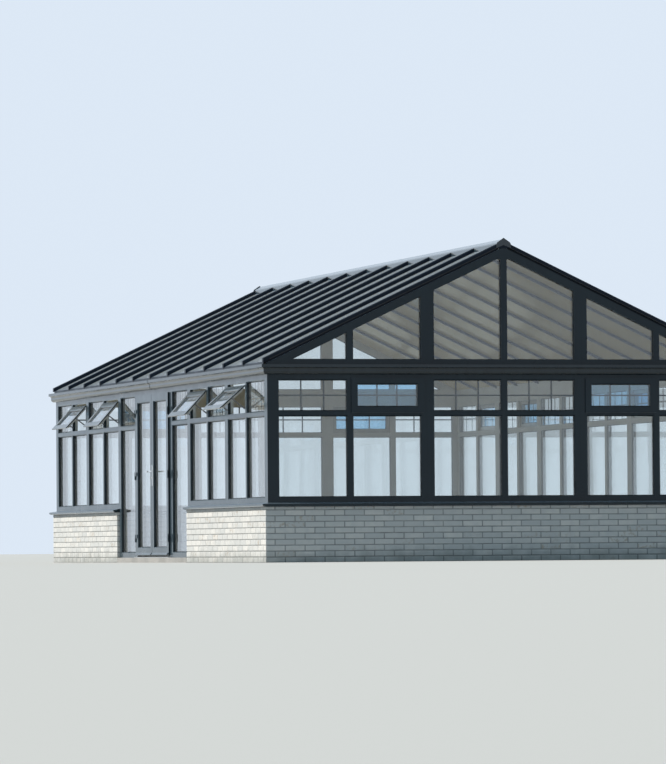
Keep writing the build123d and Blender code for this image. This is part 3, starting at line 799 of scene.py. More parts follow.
def solids_of(node: str) -> list[list[Vector]]:
    """Split a CAD node into its separate solids.

    Args:
        node: The name of the node.

    Returns:
        The corner points of each solid.
    """
    merged = bmesh.new()
    merged.from_mesh(bpy.data.objects[node].data)
    bmesh.ops.remove_doubles(merged, verts=merged.verts, dist=WELD)
    # A dict keeps its order, so the points are walked alike in every run
    left = dict.fromkeys(merged.verts)
    groups: list[list[Vector]] = []
    while left:
        reached = [left.popitem()[0]]
        group = []
        while reached:
            vert = reached.pop()
            group.append(vert.co.copy())
            for edge in vert.link_edges:
                other = edge.other_vert(vert)
                if other in left:
                    del left[other]
                    reached.append(other)
        groups.append(group)
    merged.free()
    return sorted(groups, key=lambda group: tuple(round(c, 4) for c in sum(group, Vector()) / len(group)))


def pane_of(points: Sequence[Vector]) -> Pane:
    """Find the outer face of a sheet of glass.

    Args:
        points: The corner points of the sheet.

    Returns:
        The pane, with X along the wall, Y up the sheet and Z outwards.
    """
    centre = sum(points, Vector()) / len(points)
    spans = [max(p[axis] for p in points) - min(p[axis] for p in points) for axis in (0, 1)]
    on_end = spans[0] > spans[1]
    if on_end:
        outwards = Vector((0, math.copysign(1, centre.y), 0))
    else:
        outwards = Vector((math.copysign(1, centre.x), 0, 0))
    along = Vector((0, 0, 1)).cross(outwards)
    corner = points[0]
    rise = min((p - corner for p in points[1:]), key=lambda step: step.length)
    normal = rise.normalized()
    normal = normal if normal.dot(outwards) > 0 else -normal
    up = normal.cross(along)
    place = Matrix((along, up, normal)).transposed().to_4x4()
    top = max(p.dot(normal) for p in points)
    place.translation = centre + normal * (top - centre.dot(normal))
    local = place.inverted()
    outer = [local @ p for p in points if p.dot(normal) > top - rise.length / 2]
    ordered = sorted(outer, key=lambda p: math.atan2(p.y, p.x))
    return Pane(place, tuple((p.x, p.y) for p in ordered), rise.length)


def hung(pane: Pane) -> Pane:
    """Give a pane as it hangs: an open vent has slid down on its stays and is slim.

    Args:
        pane: The pane as modelled.

    Returns:
        The pane in its place.
    """
    if not pane.is_open():
        return pane
    slim = Matrix.Diagonal((1, 1, VENT_SLIMNESS, 1))
    return replace(pane, place=Matrix.Translation((0, 0, -VENT_DROP)) @ pane.place @ slim)


@dataclass(frozen=True)
class Room:
    """The main sizes of the building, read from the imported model."""

    half_width: float
    half_length: float
    wall_proud: float
    wall_thickness: float
    wall_top: float

    @classmethod
    def measure(cls) -> Room:
        """Read the sizes from the corner posts and the front wall.

        Returns:
            The room.
        """
        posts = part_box("corner_posts")[1]
        low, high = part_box("front_dwarf_wall")
        return cls(posts.x, posts.y, high.x - posts.x, high.y - low.y, high.z)

    def wall(self, side: Side) -> Matrix:
        """Give a wall's own axes: X along it, Y inwards from the frames and Z up."""
        reach = self.half_length if side in (Side.FRONT, Side.BACK) else self.half_width
        return Matrix.Rotation(math.radians(side.value), 4, "Z") @ Matrix.Translation((0, -reach, 0))


BRICK = FacingBrick("pale_facing_brick", "brick")
MORTAR = Mortar("raked_mortar", "brick")
PAINT = Coating("anthracite_frame_coating", "frame_paint")
LINED_PAINT = LinedCoating("frame_coating_white_inside", "frame_paint")
LEAF_PAINT = LinedCoating("leaf_coating_white_inside", "frame_paint", line=(2.852, 5.635))
LINING = Coating(
    "white_sash_body", "frame_paint", colour=(0.66, 0.66, 0.63), worn=(0.55, 0.55, 0.52), shine=0.5, chalk=0.0
)
ROOF_PAINT = Coating(
    "anthracite_roof_coating",
    "roof_bar_paint",
    colour=(0.003, 0.009, 0.019),
    worn=(0.008, 0.015, 0.028),
    dust_share=0.12,
    shine=0.14,
    chalk=0.1,
    lacquer=0.0,
)
RIDGE_PAINT = Coating(
    "anthracite_ridge_coating", "roof_bar_paint", dust_share=0.15, roughness=(0.10, 0.18), shine=0.5
)
GUTTER = Coating(
    "anthracite_gutter_coating",
    "gutter",
    dust_share=0.2,
    roughness=(0.14, 0.24),
    shine=0.4,
    chalk=0.0,
    lacquer=0.5,
)
BOARD = Coating(
    "grey_board_laminate",
    "board",
    colour=(0.16, 0.165, 0.17),
    worn=(0.20, 0.205, 0.21),
    dust=(0.3, 0.3, 0.28),
)
GLASS = ClearGlass("clear_sealed_glass", "glass")
VENT_GLASS = ClearGlass("vent_sealed_glass", "glass", tint=(0.58, 0.79, 0.92), mirror=0.14, film=0.05)
SHEET = FlutedSheet("opal_multiwall_sheet", "roof_panel")
CHROME = BareMetal("polished_chrome", "handle")
STEEL = BareMetal("brushed_steel_arm", "steel", colour=(0.56, 0.57, 0.57), roughness=(0.28, 0.45))
GASKET = Rubber("black_gasket", "frame_paint")
SPACER = BareMetal("spacer_bar_metal", "steel", colour=(0.42, 0.43, 0.44), roughness=(0.4, 0.55))
ARM = BareMetal("stay_arm_metal", "steel", colour=(0.22, 0.22, 0.23), roughness=(0.35, 0.5))
CONCRETE = Screed("floated_concrete", "floor")


@dataclass
class Brickwork:
    """The dwarf walls, laid brick by brick round a core of mortar."""

    room: Room
    stretcher: float = 0.236
    course: float = 0.068
    joint: float = 0.010
    leaf: float = 0.108
    rake: float = 0.0045
    arris: float = 0.0032
    closer: float = 0.054
    seed: int = 11

    def build(self) -> None:
        """Lay every wall and hide the plain solids."""
        for name, side, start, end in self._stretches():
            self._lay(name, side, start, end)

    def _stretches(self) -> list[tuple[str, Side, float, float]]:
        """List the walls.

        Returns:
            Each wall's node, side, start and end along the side.
        """
        outer_x = self.room.half_width + self.room.wall_proud
        outer_y = self.room.half_length + self.room.wall_proud
        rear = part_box("left_dwarf_wall_rear")[0].y
        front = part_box("left_dwarf_wall_front")[1].y
        return [
            ("front_dwarf_wall", Side.FRONT, -outer_x, outer_x),
            ("back_dwarf_wall", Side.BACK, -outer_x, outer_x),
            ("right_dwarf_wall", Side.RIGHT, -outer_y, outer_y),
            ("left_dwarf_wall_rear", Side.LEFT, -outer_y, -rear),
            ("left_dwarf_wall_front", Side.LEFT, -front, outer_y),
        ]

    def _lay(self, name: str, side: Side, start: float, end: float) -> None:
        """Lay one wall.

        Args:
            name: The node that the bricks stand for.
            side: The wall's side.
            start: Where its outer face starts.
            end: Where its outer face ends.
        """
        place = self.room.wall(side)
        wobble = random.Random(self.seed + side.value + round(start * 100))
        corner_reach = self.room.half_length if side in (Side.LEFT, Side.RIGHT) else self.room.half_width
        outer_face = -self.room.wall_proud
        inner_face = outer_face + self.room.wall_thickness
        at_corner = [abs(abs(edge) - corner_reach) < 2 * self.room.wall_proud for edge in (start, end)]
        inner = [
            math.copysign(corner_reach - inner_face, edge) if corner else edge
            for edge, corner in zip((start, end), at_corner)
        ]
        bricks = Sketch()
        leads = name != "left_dwarf_wall_front"
        outer_depth = (outer_face, outer_face + self.leaf)
        inner_depth = (inner_face - self.leaf, inner_face)
        self._courses(bricks, place, (start, end), outer_depth, leads, at_corner, wobble)
        self._courses(bricks, place, tuple(inner), inner_depth, not leads, (False, False), wobble)
        self._close_ends(bricks, place, (start, end), at_corner, wobble)
        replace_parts(bricks.piece(name.replace("dwarf_wall", "bricks"), BRICK), name)
        self._core(name, side, place, start, end, at_corner)

    def _levels(self) -> list[Point]:
        """Level the courses, from the ground up.

        Returns:
            The bottom and the top of the bricks in each course.
        """
        count = math.ceil((self.room.wall_top + self.joint) / self.course)
        levels = []
        for index in range(count):
            top = (index + 1) * self.course - self.joint - MILLIMETRE
            bottom = top - (self.course - self.joint)
            levels.append((max(bottom, 0.0), min(top, self.room.wall_top)))
        return levels

    def _courses(
        self,
        bricks: Sketch,
        place: Matrix,
        run: Point,
        depth: Point,
        leads: bool,
        corners: Sequence[bool],
        wobble: random.Random,
    ) -> None:
        """Lay one leaf of brick in stretcher bond.

        Args:
            bricks: Where the bricks go.
            place: The wall's axes.
            run: The ends of the leaf along the wall.
            depth: The leaf's two faces.
            leads: Whether the first course starts with a whole stretcher.
            corners: Whether the wall round each end owns the half bricks there.
            wobble: The source of the unevenness.
        """
        length = run[1] - run[0] + self.joint
        units = round(2 * length / self.stretcher) / 2
        if all(corners) and units == int(units):
            units += 0.5
        elif not all(corners):
            units = round(units)
        module = length / units
        for row, (bottom, top) in enumerate(self._levels()):
            whole_first = (row % 2 == 0) == leads
            cuts = [0.0] if whole_first else [0.0, 0.5]
            while cuts[-1] + 1 < units:
                cuts.append(cuts[-1] + 1)
            cuts.append(units)
            pairs = list(zip(cuts, cuts[1:]))
            for number, (first, second) in enumerate(pairs):
                half_brick = second - first < 1
                in_next_wall = (number == 0 and corners[0]) or (number == len(pairs) - 1 and corners[1])
                if half_brick and in_next_wall:
                    continue
                low = Vector((run[0] + first * module, depth[0], bottom))
                high = Vector((run[0] + second * module - self.joint, depth[1], top))
                bricks.eased_box(place, low, high, self.arris, wobble)

    def _close_ends(
        self, bricks: Sketch, place: Matrix, run: Point, corners: Sequence[bool], wobble: random.Random
    ) -> None:
        """Close the cavity at the doorway with a cut brick in each course.

        Args:
            bricks: Where the bricks go.
            place: The wall's axes.
            run: The ends of the wall.
            corners: Whether each end is at a corner of the room.
            wobble: The source of the unevenness.
        """
        middle = -self.room.wall_proud + self.room.wall_thickness / 2
        half = self.closer / 2
        for end, corner, inwards in ((run[0], corners[0], 1), (run[1], corners[1], -1)):
            if corner:
                continue
            far = end + inwards * self.leaf
            for bottom, top in self._levels():
                low = Vector((min(end, far), middle - half, bottom))
                high = Vector((max(end, far), middle + half, top))
                bricks.eased_box(place, low, high, self.arris, wobble)

    def _core(
        self, name: str, side: Side, place: Matrix, start: float, end: float, corners: Sequence[bool]
    ) -> None:
        """Fill the joints and the cavity with mortar, raked back from each face.

        Args:
            name: The node that the bricks stand for.
            side: The wall's side.
            place: The wall's axes.
            start: Where its outer face starts.
            end: Where its outer face ends.
            corners: Whether each end is at a corner of the room.
        """
        ends_wall = side in (Side.FRONT, Side.BACK)
        low_v = -self.room.wall_proud + self.rake
        high_v = low_v + self.room.wall_thickness - 2 * self.rake
        reach = self.room.wall_thickness - self.rake
        low_u = start + (self.rake if ends_wall or not corners[0] else reach)
        high_u = end - (self.rake if ends_wall or not corners[1] else reach)
        core = Sketch()
        core.box(place, (low_u, low_v, 0), (high_u, high_v, self.room.wall_top - self.rake / 2))
        core.piece(name.replace("dwarf_wall", "mortar"), MORTAR)


@dataclass
class Glazing:
    """What dresses the panes: gaskets, spacer bars and the bars inside top lights."""

    gasket_width: float = 0.006
    gasket_proud: float = 0.003
    spacer_width: float = 0.002
    spacer_depth: float = 0.008
    bar_width: float = 0.016
    bar_depth: float = 0.008
    bar_columns: int = 3
    top_light_height: float = 0.45
    gable_node: str = "gable_glass"

    def build(self) -> None:
        """Dress the panes of every node of glass."""
        for node, body in (
            ("end_wall_glass", "root"),
            ("side_wall_glass", "root"),
            ("vent_glass", "root"),
            (self.gable_node, "root"),
            ("door_leaf_left_glass", "door_leaf_left"),
            ("door_leaf_right_glass", "door_leaf_right"),
        ):
            self._dress(node, body)

    def _dress(self, node: str, body: str) -> None:
        """Make one piece of each kind for a node of glass.

        Args:
            node: The node of glass.
            body: The body that it rides on.
        """
        gaskets = Sketch()
        spacers = Sketch()
        bars = Sketch()
        barred = False
        for points in solids_of(node):
            pane = hung(pane_of(points))
            sight = pane.sight()
            gaskets.ring(pane.place, sight, self.gasket_width, 0, self.gasket_proud)
            back = -pane.thickness
            gaskets.ring(pane.place, sight, self.gasket_width, back - self.gasket_proud, back)
            half = self.spacer_depth / 2
            edge = inset(pane.outline, self.spacer_width)
            width = pane.rebate + self.spacer_width
            spacers.ring(pane.place, edge, width - self.spacer_width / 2, back / 2 - half, back / 2 + half)
            if node != self.gable_node and pane.size()[1] < self.top_light_height:
                self._bars(bars, pane)
                barred = True
        stem = node.replace("_glass", "")
        gaskets.piece(f"{stem}_gaskets", GASKET, body)
        spacers.piece(f"{stem}_spacers", SPACER, body)
        if barred:
            bars.piece(f"{stem}_inner_bars", PAINT, body)

    def _bars(self, bars: Sketch, pane: Pane) -> None:
        """Add the thin bars inside one top light: two upright and one level.

        Args:
            bars: Where the bars go.
            pane: The top light's glass.
        """
        width, height = (size - 2 * pane.rebate for size in pane.size())
        centre_y = sum(point[1] for point in pane.outline) / len(pane.outline)
        centre_x = sum(point[0] for point in pane.outline) / len(pane.outline)
        low = -pane.thickness / 2 - self.bar_depth / 2
        high = low + self.bar_depth
        half = self.bar_width / 2
        for column in range(1, self.bar_columns):
            x = centre_x - width / 2 + column * width / self.bar_columns
            bars.box(
                pane.place, (x - half, centre_y - height / 2, low), (x + half, centre_y + height / 2, high)
            )
        bars.box(
            pane.place,
            (centre_x - width / 2, centre_y - half, low - MILLIMETRE),
            (centre_x + width / 2, centre_y + half, high + MILLIMETRE),
        )


@dataclass
class Vents:
    """The vents: coated outside, white behind, and slid down on their stays where they stand open."""

    skin: float = 0.016
    margins: Point = (0.06, 0.09)
    depth: float = 0.12
    arm_width: float = 0.016
    arm_thickness: float = 0.0024
    arm_gap: float = 0.0385
    frame_pivot: Point = (0.030, 0.21)
    sash_pivot: float = 0.55

    def build(self) -> None:
        """Hang the sashes and their glass, and fit the stays."""
        panes = [pane_of(points) for points in solids_of("vent_glass")]
        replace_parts(self._hang("vent_sashes", "hung_sashes", panes, (PAINT, LINING)), "vent_sashes")
        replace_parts(self._hang("vent_glass", "hung_vent_glass", panes, (VENT_GLASS,)), "vent_glass")
        arms = Sketch()
        for pane in panes:
            if pane.is_open():
                self._stays(arms, hung(pane))
        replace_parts(arms.piece("vent_stay_arms", ARM), "vent_stays")

    def _hang(
        self, node: str, name: str, panes: Sequence[Pane], finishes: Sequence[Finish]
    ) -> bpy.types.Object:
        """Copy a node of the vents, with the open ones where they hang.

        Args:
            node: The node.
            name: The name of the new piece.
            panes: The glass of every vent.
            finishes: The outer finish, and one for what lies behind the skin if it differs.

        Returns:
            The new piece.
        """
        shape = bmesh.new()
        shape.from_mesh(bpy.data.objects[node].data)
        bmesh.ops.remove_doubles(shape, verts=shape.verts, dist=WELD)
        for pane in panes:
            faces = self._faces_of(shape, pane)
            if len(finishes) > 1:
                faces = self._part(shape, pane, faces)
            move = hung(pane).place @ pane.place.inverted()
            for vert in dict.fromkeys(vert for face in faces for vert in face.verts):
                vert.co = move @ vert.co
        mesh = bpy.data.meshes.new(name)
        shape.to_mesh(mesh)
        shape.free()
        return stand(mesh, finishes)

    def _faces_of(self, shape: bmesh.types.BMesh, pane: Pane) -> list[bmesh.types.BMFace]:
        """Find the faces of one vent.

        Args:
            shape: The mesh of all the vents.
            pane: The vent's glass.

        Returns:
            The faces round that glass.
        """
        local = pane.place.inverted()
        limits = [size / 2 + margin for size, margin in zip(pane.size(), self.margins)]
        limits.append(self.depth)
        found = []
        for face in shape.faces:
            middle = local @ face.calc_center_median()
            if all(abs(reach) < limit for reach, limit in zip(middle, limits)):
                found.append(face)
        return found

    def _part(
        self, shape: bmesh.types.BMesh, pane: Pane, faces: Sequence[bmesh.types.BMFace]
    ) -> list[bmesh.types.BMFace]:
        """Part the faces of a vent behind its coated skin, and number them by finish.

        Args:
            shape: The mesh of all the vents.
            pane: The vent's glass.
            faces: The vent's faces.

        Returns:
            The vent's faces after the cut.
        """
        local = pane.place.inverted()
        verts = list(dict.fromkeys(vert for face in faces for vert in face.verts))
        edges = list(dict.fromkeys(edge for face in faces for edge in face.edges))
        line = max((local @ vert.co).z for vert in verts) - self.skin
        cut = bmesh.ops.bisect_plane(
            shape,
            geom=[*verts, *edges, *faces],
            plane_co=pane.place @ Vector((0, 0, line)),
            plane_no=pane.place.col[2].xyz,
        )
        parted = [part for part in cut["geom"] if isinstance(part, bmesh.types.BMFace)]
        for face in parted:
            face.material_index = int((local @ face.calc_center_median()).z < line)
        return parted

    def _stays(self, arms: Sketch, pane: Pane) -> None:
        """Add the arm at each side of an open vent, from the jamb to the stile.

        Args:
            arms: Where the arms go.
            pane: The vent's glass as it hangs.
        """
        width, height = pane.size()
        depth, drop = self.frame_pivot
        half = self.arm_width / 2
        thin = self.arm_thickness / 2
        along = pane.place.col[0].xyz
        outwards = along.cross(Vector((0, 0, 1)))
        for side in (-1, 1):
            edge = side * (width / 2 + self.arm_gap)
            low = pane.place @ Vector((edge, height * (0.5 - self.sash_pivot), -pane.thickness / 2))
            high = pane.place @ Vector((edge, height / 2, -pane.thickness / 2))
            base = high - Vector((0, 0, drop)) - outwards * depth
            reach = low - base
            ahead = reach.normalized()
            place = Matrix((ahead, along, ahead.cross(along))).transposed().to_4x4()
            place.translation = base
            arms.box(place, (-half, -thin, -half), (reach.length + half, thin, half))


@dataclass
class Eaves:
    """The ogee gutters along the sides and the fascias of the same section across the gables."""

    room: Room
    drop: float = 0.006
    height: float = 0.116
    foot: float = 0.020
    bulge: float = 0.036
    waist: float = 0.018
    cove: float = 0.028
    metal: float = 0.003
    arc_steps: int = 10
    union_half: float = 0.045
    union_proud: float = 0.003
    union_bite: float = 0.0006

    def build(self) -> None:
        """Run the moulding round the building, mitred at the corners."""
        gutters = Sketch()
        fascias = Sketch()
        for side in (Side.LEFT, Side.RIGHT):
            self._channel(gutters, self.room.wall(side), self.room.half_length)
            self._union(gutters, self.room.wall(side))
        for side in (Side.FRONT, Side.BACK):
            self._channel(fascias, self.room.wall(side), self.room.half_width)
        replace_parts(gutters.piece("ogee_gutters", GUTTER), "eaves_gutters")
        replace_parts(fascias.piece("ogee_fascias", GUTTER), "gable_fascias")

    def _section(self, metal: float) -> list[Point]:
        """Give the ogee from its back edge round to its lip, as reach and height.

        Args:
            metal: How far the line lies inside the outer face.

        Returns:
            The points, from the top of the back to the top of the lip.
        """
        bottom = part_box("corner_posts")[1].z - self.drop
        top = bottom + self.height
        turn = bottom + self.bulge
        brow = self.foot + self.bulge + self.cove
        points = [(metal, top), (metal, bottom + metal), (self.foot, bottom + metal)]
        for step in range(1, self.arc_steps + 1):
            angle = math.pi / 2 * step / self.arc_steps
            radius = self.bulge - metal
            points.append((self.foot + radius * math.sin(angle), turn - radius * math.cos(angle)))
        sweep = math.acos(metal / (self.cove + metal))
        for step in range(self.arc_steps + 1):
            angle = sweep * step / self.arc_steps
            radius = self.cove + metal
            points.append((brow - radius * math.cos(angle), turn + self.waist + radius * math.sin(angle)))
        points.append((brow - metal, top))
        return points

    def _channel(self, sketch: Sketch, place: Matrix, half_run: float) -> None:
        """Add an open channel along one wall, given half the wall's length at its frames."""
        section = [*self._section(0.0), *reversed(self._section(self.metal))]
        self._sweep(sketch, place, section, -half_run, half_run, True)

    def _union(self, sketch: Sketch, place: Matrix) -> None:
        """Add the sleeve that joins two lengths of gutter at mid-wall.

        Args:
            sketch: Where it goes.
            place: The wall's axes.
        """
        outer = self._section(-self.union_proud)
        skin = self._section(-self.union_bite)
        section = [*outer[2:], *reversed(skin[2:])]
        self._sweep(sketch, place, section, -self.union_half, self.union_half, False)

    @staticmethod
    def _sweep(
        sketch: Sketch, place: Matrix, section: Sequence[Point], start: float, end: float, mitred: bool
    ) -> None:
        """Sweep a closed section along a wall.

        Args:
            sketch: Where the solid goes.
            place: The wall's axes.
            section: The points, as reach and height.
            start: Where it starts along the wall.
            end: Where it ends.
            mitred: Whether each end runs out by the reach, as at a corner.
        """
        share = 1 if mitred else 0
        first = [(start - share * reach, -reach, level) for reach, level in section]
        second = [(end + share * reach, -reach, level) for reach, level in section]
        sketch.loft(place, first, second)


@dataclass
class RoofTrim:
    """What closes the roof sheets: strips, end caps and fixings on each slope."""

    cap_width: float = 0.060
    cap_height: float = 0.046
    cap_chamfer: float = 0.009
    gasket_width: float = 0.010
    gasket_height: float = 0.005
    gasket_short: float = 0.040
    end_cap: float = 0.016
    closure: float = 0.016
    screw_radius: float = 0.006
    screw_height: float = 0.0035
    screw_count: int = 7
    screw_margin: float = 0.15
    screw_sides: int = 8
    ridge_cover: float = 0.09
    infill_half: float = 0.072
    infill_slope: float = 0.35
    infill_lap: float = 0.012
    infill_lift: float = 0.008
    infill_inset: float = 0.006

    def build(self) -> None:
        """Trim both slopes and the ends of the ridge."""
        self._slope("right", 1)
        self._slope("left", -1)
        self._infills()

    def _infills(self) -> None:
        """Fill behind each ridge end plate, down to the crown of the gable."""
        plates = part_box("ridge_ends")
        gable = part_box("gable_frames")[1]
        crown = gable.z - self.infill_lap
        brow = plates[0].z + self.infill_lift
        half = self.infill_half
        peak = brow + half * self.infill_slope
        outline = [(-half, crown), (half, crown), (half, brow), (0, peak), (-half, brow)]
        reach = (gable.y - self.infill_lap, plates[1].y - self.infill_inset)
        infills = Sketch()
        for turn in (1, -1):
            place = Matrix(((1, 0, 0, 0), (0, 0, turn, 0), (0, 1, 0, 0), (0, 0, 0, 1)))
            infills.prism(place, outline, *reach)
        infills.piece("ridge_end_infills", ROOF_PAINT)

    @staticmethod
    def _place(towards: int, pitch: float, y: float, apex: float) -> Matrix:
        """Give axes on a bar: X down the slope, Y along the ridge and Z off the roof.

        Args:
            towards: 1 for the right slope and -1 for the left.
            pitch: The angle of the slope.
            y: The middle of the bar along the ridge.
            apex: The height where the tops of the bars would meet.

        Returns:
            The matrix to the model's axes.
        """
        down = Vector((towards * math.cos(pitch), 0, -math.sin(pitch)))
        off = Vector((towards * math.sin(pitch), 0, math.cos(pitch)))
        along = off.cross(down)
        place = Matrix((down, along, off)).transposed().to_4x4()
        place.translation = Vector((0, y, apex))
        return place

    def _slope(self, name: str, towards: int) -> None:
        """Trim one slope.

        Args:
            name: The slope's name in its nodes.
            towards: 1 for the right slope and -1 for the left.
        """
        bars = solids_of(f"roof_bars_{name}")
        panels = solids_of(f"roof_panels_{name}")
        reach = max(abs(p.x) for p in bars[0])
        near = min(bars[0], key=lambda p: (round(-p.z, 4), abs(p.x)))
        eaves_z = max(p.z for p in bars[0] if abs(p.x) > reach - MILLIMETRE)
        pitch = math.atan2(near.z - eaves_z, reach - abs(near.x))
        apex = eaves_z + reach * math.tan(pitch)
        length = reach / math.cos(pitch)
        start = abs(near.x) / math.cos(pitch)
        LOG.info("roof pitch %.2f degrees", math.degrees(pitch))
        gaskets = Sketch()
        caps = Sketch()
        screws = Sketch()
        for points in bars:
            y = (max(p.y for p in points) + min(p.y for p in points)) / 2
            place = self._place(towards, pitch, y, apex)
            self._bar(gaskets, caps, screws, place, pitch, (start, length))
        gaskets.piece(f"roof_gaskets_{name}", GASKET)
        caps.piece(f"roof_bar_end_caps_{name}", ROOF_PAINT)
        screws.piece(f"roof_bar_screws_{name}", STEEL)
        self._closures(name, panels, pitch)

    def _bar(
        self, gaskets: Sketch, caps: Sketch, screws: Sketch, place: Matrix, pitch: float, run: Point
    ) -> None:
        """Trim one bar with its two gaskets, an end cap and a row of screws.

        Args:
            gaskets: Where the gaskets go.
            caps: Where the end cap goes.
            screws: Where the screws go.
            place: The bar's axes.
            pitch: The angle of the slope.
            run: Where the bar starts and ends along the slope.
        """
        half = self.cap_width / 2
        ease = self.cap_chamfer
        low = -self.cap_height
        for side in (-1, 1):
            edges = sorted((side * half, side * (half + self.gasket_width)))
            gaskets.box(
                place,
                (self.ridge_cover, edges[0], low),
                (run[1] - self.gasket_short, edges[1], low + self.gasket_height),
            )
        right = [(half, low), (half, -ease), (half - ease, 0)]
        outline = [(-half, low), *right, (ease - half, 0), (-half, -ease)]
        ends = (run[1] - MILLIMETRE, run[1] + self.end_cap / math.cos(pitch))
        caps.loft(place, *([(end - z * math.tan(pitch), y, z) for y, z in outline] for end in ends))
        spacing = (run[1] - run[0] - 2 * self.screw_margin) / (self.screw_count - 1)
        for index in range(self.screw_count):
            x = run[0] + self.screw_margin + index * spacing
            spot = place @ Matrix.Translation((x, 0, 0))
            screws.disc(spot, self.screw_radius, -MILLIMETRE, self.screw_height, self.screw_sides)

    def _closures(self, name: str, panels: Sequence[Sequence[Vector]], pitch: float) -> None:
        """Close the lower edge of each sheet with a folded strip.

        Args:
            name: The slope's name.
            panels: The corner points of each sheet.
            pitch: The angle of the slope.
        """
        strips = Sketch()
        for points in panels:
            reach = max(abs(p.x) for p in points)
            edge = [p for p in points if abs(p.x) > reach - MILLIMETRE]
            sign = math.copysign(1, edge[0].x)
            near, far = (pick(p.y for p in edge) for pick in (min, max))
            low, high = (pick(p.z for p in edge) for pick in (min, max))
            outline = ((near, low), (far, low), (far, high), (near, high))
            ends = []
            for x in (reach - MILLIMETRE, reach + self.closure):
                fall = (x - reach) * math.tan(pitch)
                ends.append([(sign * x, y, z - fall) for y, z in outline])
            strips.loft(Matrix(), *ends)
        strips.piece(f"sheet_edge_strips_{name}", ROOF_PAINT)


@dataclass
class DoorFittings:
    """Small fittings of the double doors: lock cylinders and rain bars."""

    cylinder_radius: float = 0.0085
    cylinder_drop: float = 0.030
    cylinder_proud: float = 0.006
    cylinder_sides: int = 24
    plate_half: float = 0.016
    plate_thickness: float = 0.009
    rain_bar_height: float = 0.028
    rain_bar_proud: float = 0.020
    rain_bar_lift: float = 0.006
    rain_bar_lip: float = 0.006
    rain_bar_top: float = 0.004
    rain_bar_margin: float = 0.02

    def build(self) -> None:
        """Fit out both leaves."""
        for name in ("left", "right"):
            self._cylinders(name)
            self._rain_bar(name)

    def _cylinders(self, name: str) -> None:
        """Set a lock cylinder in both plates of a leaf, below the lever.

        Args:
            name: The leaf, left or right.
        """
        low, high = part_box(f"door_leaf_{name}_handles")
        near = high.y if abs(high.y) < abs(low.y) else low.y
        y = near + math.copysign(self.plate_half, low.y + high.y)
        frame_low, frame_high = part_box(f"door_leaf_{name}_frame")
        level = (low.z + high.z) / 2 - self.cylinder_drop
        locks = Sketch()
        for face, outwards in ((frame_low.x, -1), (frame_high.x, 1)):
            centre = Matrix.Translation((face + outwards * self.plate_thickness, y, level))
            turn = Matrix.Rotation(math.radians(90 * outwards), 4, "Y")
            locks.disc(
                centre @ turn, self.cylinder_radius, -MILLIMETRE, self.cylinder_proud, self.cylinder_sides
            )
        locks.piece(f"door_leaf_{name}_lock_cylinders", STEEL, f"door_leaf_{name}")

    def _rain_bar(self, name: str) -> None:
        """Fix a sloping rain bar to the foot of a leaf.

        Args:
            name: The leaf, left or right.
        """
        low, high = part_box(f"door_leaf_{name}_frame")
        foot = low.z + self.rain_bar_lift
        head = foot + self.rain_bar_height
        outline = [
            (0, foot),
            (self.rain_bar_proud, foot),
            (self.rain_bar_proud, foot + self.rain_bar_lip),
            (self.rain_bar_top, head),
            (0, head),
        ]
        place = Matrix(((-1, 0, 0, low.x), (0, 0, 1, 0), (0, 1, 0, 0), (0, 0, 0, 1)))
        bar = Sketch()
        bar.prism(place, outline, low.y + self.rain_bar_margin, high.y - self.rain_bar_margin)
        bar.piece(f"door_leaf_{name}_rain_bar", PAINT, f"door_leaf_{name}")


@dataclass
class Frames:
    """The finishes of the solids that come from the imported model."""

    def build(self) -> None:
        """Give every shown node its finish."""
        for node, finish in self._plan().items():
            shown = bpy.data.objects[node]
            shown.data.materials.clear()
            shown.data.materials.append(finish.material())
            LOG.info("%s: %s", node, finish.name)

    def _plan(self) -> dict[str, Finish]:
        """Choose a finish for each node by its name.

        Returns:
            The finishes by node.
        """
        return {
            shape.name: self._finish(shape.name)
            for shape in bpy.data.objects
            if shape.type == "MESH" and "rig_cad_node" in shape
        }

    def _finish(self, node: str) -> Finish:
        """Choose a finish.

        Args:
            node: The name of the node.

        Returns:
            The finish that fits the name.
        """
        lined = ("frames", "beams", "couplers", "door_frame_jambs", "door_frame_head")
        choices: tuple[tuple[str, Finish], ...] = (
            ("dwarf_wall", BRICK),
            ("floor_slab", CONCRETE),
            ("vent_glass", VENT_GLASS),
            ("glass", GLASS),
            ("roof_panels", SHEET),
            ("roof_bars", ROOF_PAINT),
            ("ridge_beam", LINED_PAINT),
            ("ridge", RIDGE_PAINT),
            ("_leaf_left_frame", LEAF_PAINT),
            ("_leaf_right_frame", LEAF_PAINT),
            *((word, LINED_PAINT) for word in lined),
            *((word, GUTTER) for word in ("gutters", "fascias")),
            ("handles", CHROME),
            *((word, STEEL) for word in ("stays", "threshold")),
            ("boards", BOARD),
        )
        return next((finish for word, finish in choices if word in node), PAINT)


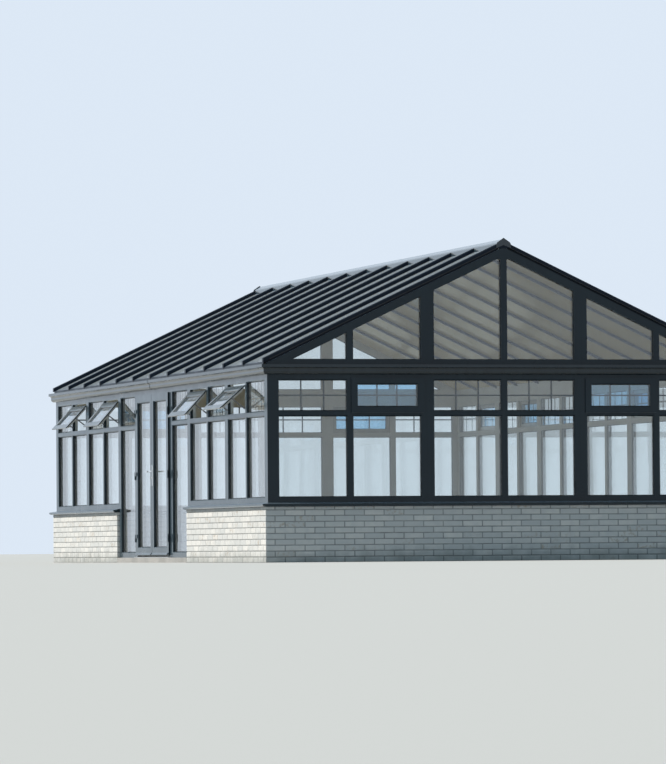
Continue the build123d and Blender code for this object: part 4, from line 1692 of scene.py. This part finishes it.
@dataclass
class Studio:
    """A pale floor, a soft sun, a pale sky and the camera at the photograph's angle."""

    floor_size: float = 900.0
    floor_seen: Colour = (0.50, 0.50, 0.48)
    floor_lit: Colour = (0.27, 0.28, 0.285)
    floor_roughness: float = 0.9
    backdrop: Colour = (0.72, 0.81, 0.92)
    sky: Colour = (0.58, 0.82, 1.0)
    sky_strength: float = 0.42
    key_strength: float = 4.4
    key_colour: Colour = (1.0, 0.95, 0.88)
    key_from: Sequence[float] = (-0.75, 0.12, 0.78)
    key_softness: float = math.radians(5)
    camera_at: Sequence[float] = (-18.451, -65.313, 0.132)
    camera_turn: float = math.radians(15.351)
    camera_tilt: float = math.radians(1.805)
    camera_roll: float = math.radians(0.432)
    focal_pixels: float = 5347.8
    image_height: float = 764
    clear_bounces: int = 24

    def build(self) -> None:
        """Set the stage."""
        self._floor()
        self._world()
        self._key()
        self._camera()

    def _floor(self) -> None:
        """Lay the floor, a hair below the walls."""
        half = self.floor_size / 2
        mesh = bpy.data.meshes.new("studio_floor")
        corners = [(-half, -half), (half, -half), (half, half), (-half, half)]
        mesh.from_pydata([(x, y, -MILLIMETRE) for x, y in corners], [], [(0, 1, 2, 3)])
        recipe = Recipe(bpy.data.materials.new("studio_floor_paint"))
        colour = recipe.blend(recipe.seen(), self.floor_lit, self.floor_seen)
        recipe.show(recipe.principled(Base_Color=colour, Roughness=self.floor_roughness))
        mesh.materials.append(recipe.owner)
        floor = bpy.data.objects.new("studio_floor", mesh)
        bpy.context.scene.collection.objects.link(floor)

    def _world(self) -> None:
        """Light from all round, behind a pale backdrop."""
        world = bpy.data.worlds.new("studio_world")
        recipe = Recipe(world)
        light = recipe.add("ShaderNodeBackground", Color=self.sky, Strength=self.sky_strength).outputs[0]
        pale = recipe.add("ShaderNodeBackground", Color=self.backdrop).outputs[0]
        recipe.show(recipe.mix(recipe.seen(), light, pale))
        bpy.context.scene.world = world

    def _key(self) -> None:
        """Set the sun high on the door side."""
        lamp = bpy.data.lights.new("key_lamp", "SUN")
        lamp.energy = self.key_strength
        lamp.color = self.key_colour
        lamp.angle = self.key_softness
        holder = bpy.data.objects.new("key_lamp", lamp)
        holder.rotation_euler = Vector(self.key_from).to_track_quat("Z", "Y").to_euler()
        bpy.context.scene.collection.objects.link(holder)

    def _camera(self) -> None:
        """Place the camera far off, a little above the ground, with a long lens."""
        data = bpy.data.cameras.new("camera")
        data.lens = data.sensor_width * self.focal_pixels / self.image_height
        data.clip_end = self.floor_size
        camera = bpy.data.objects.new("camera", data)
        camera.location = self.camera_at
        turn = Matrix.Rotation(-self.camera_turn, 4, "Z")
        tilt = Matrix.Rotation(math.pi / 2 + self.camera_tilt, 4, "X")
        roll = Matrix.Rotation(-self.camera_roll, 4, "Z")
        camera.rotation_euler = (turn @ tilt @ roll).to_euler()
        bpy.context.scene.collection.objects.link(camera)
        bpy.context.scene.camera = camera
        bpy.context.scene.view_settings.view_transform = "Standard"
        bpy.context.scene.cycles.transparent_max_bounces = self.clear_bounces


def main() -> None:
    """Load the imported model, dress it and set the stage."""
    logging.basicConfig(level=logging.INFO, format="%(message)s")
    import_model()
    room = Room.measure()
    crews = (Frames(), Brickwork(room), Vents(), Glazing(), Eaves(room), RoofTrim(), DoorFittings(), Studio())
    for crew in crews:
        LOG.info("%s", type(crew).__name__)
        crew.build()


if __name__ == "__main__":
    main()
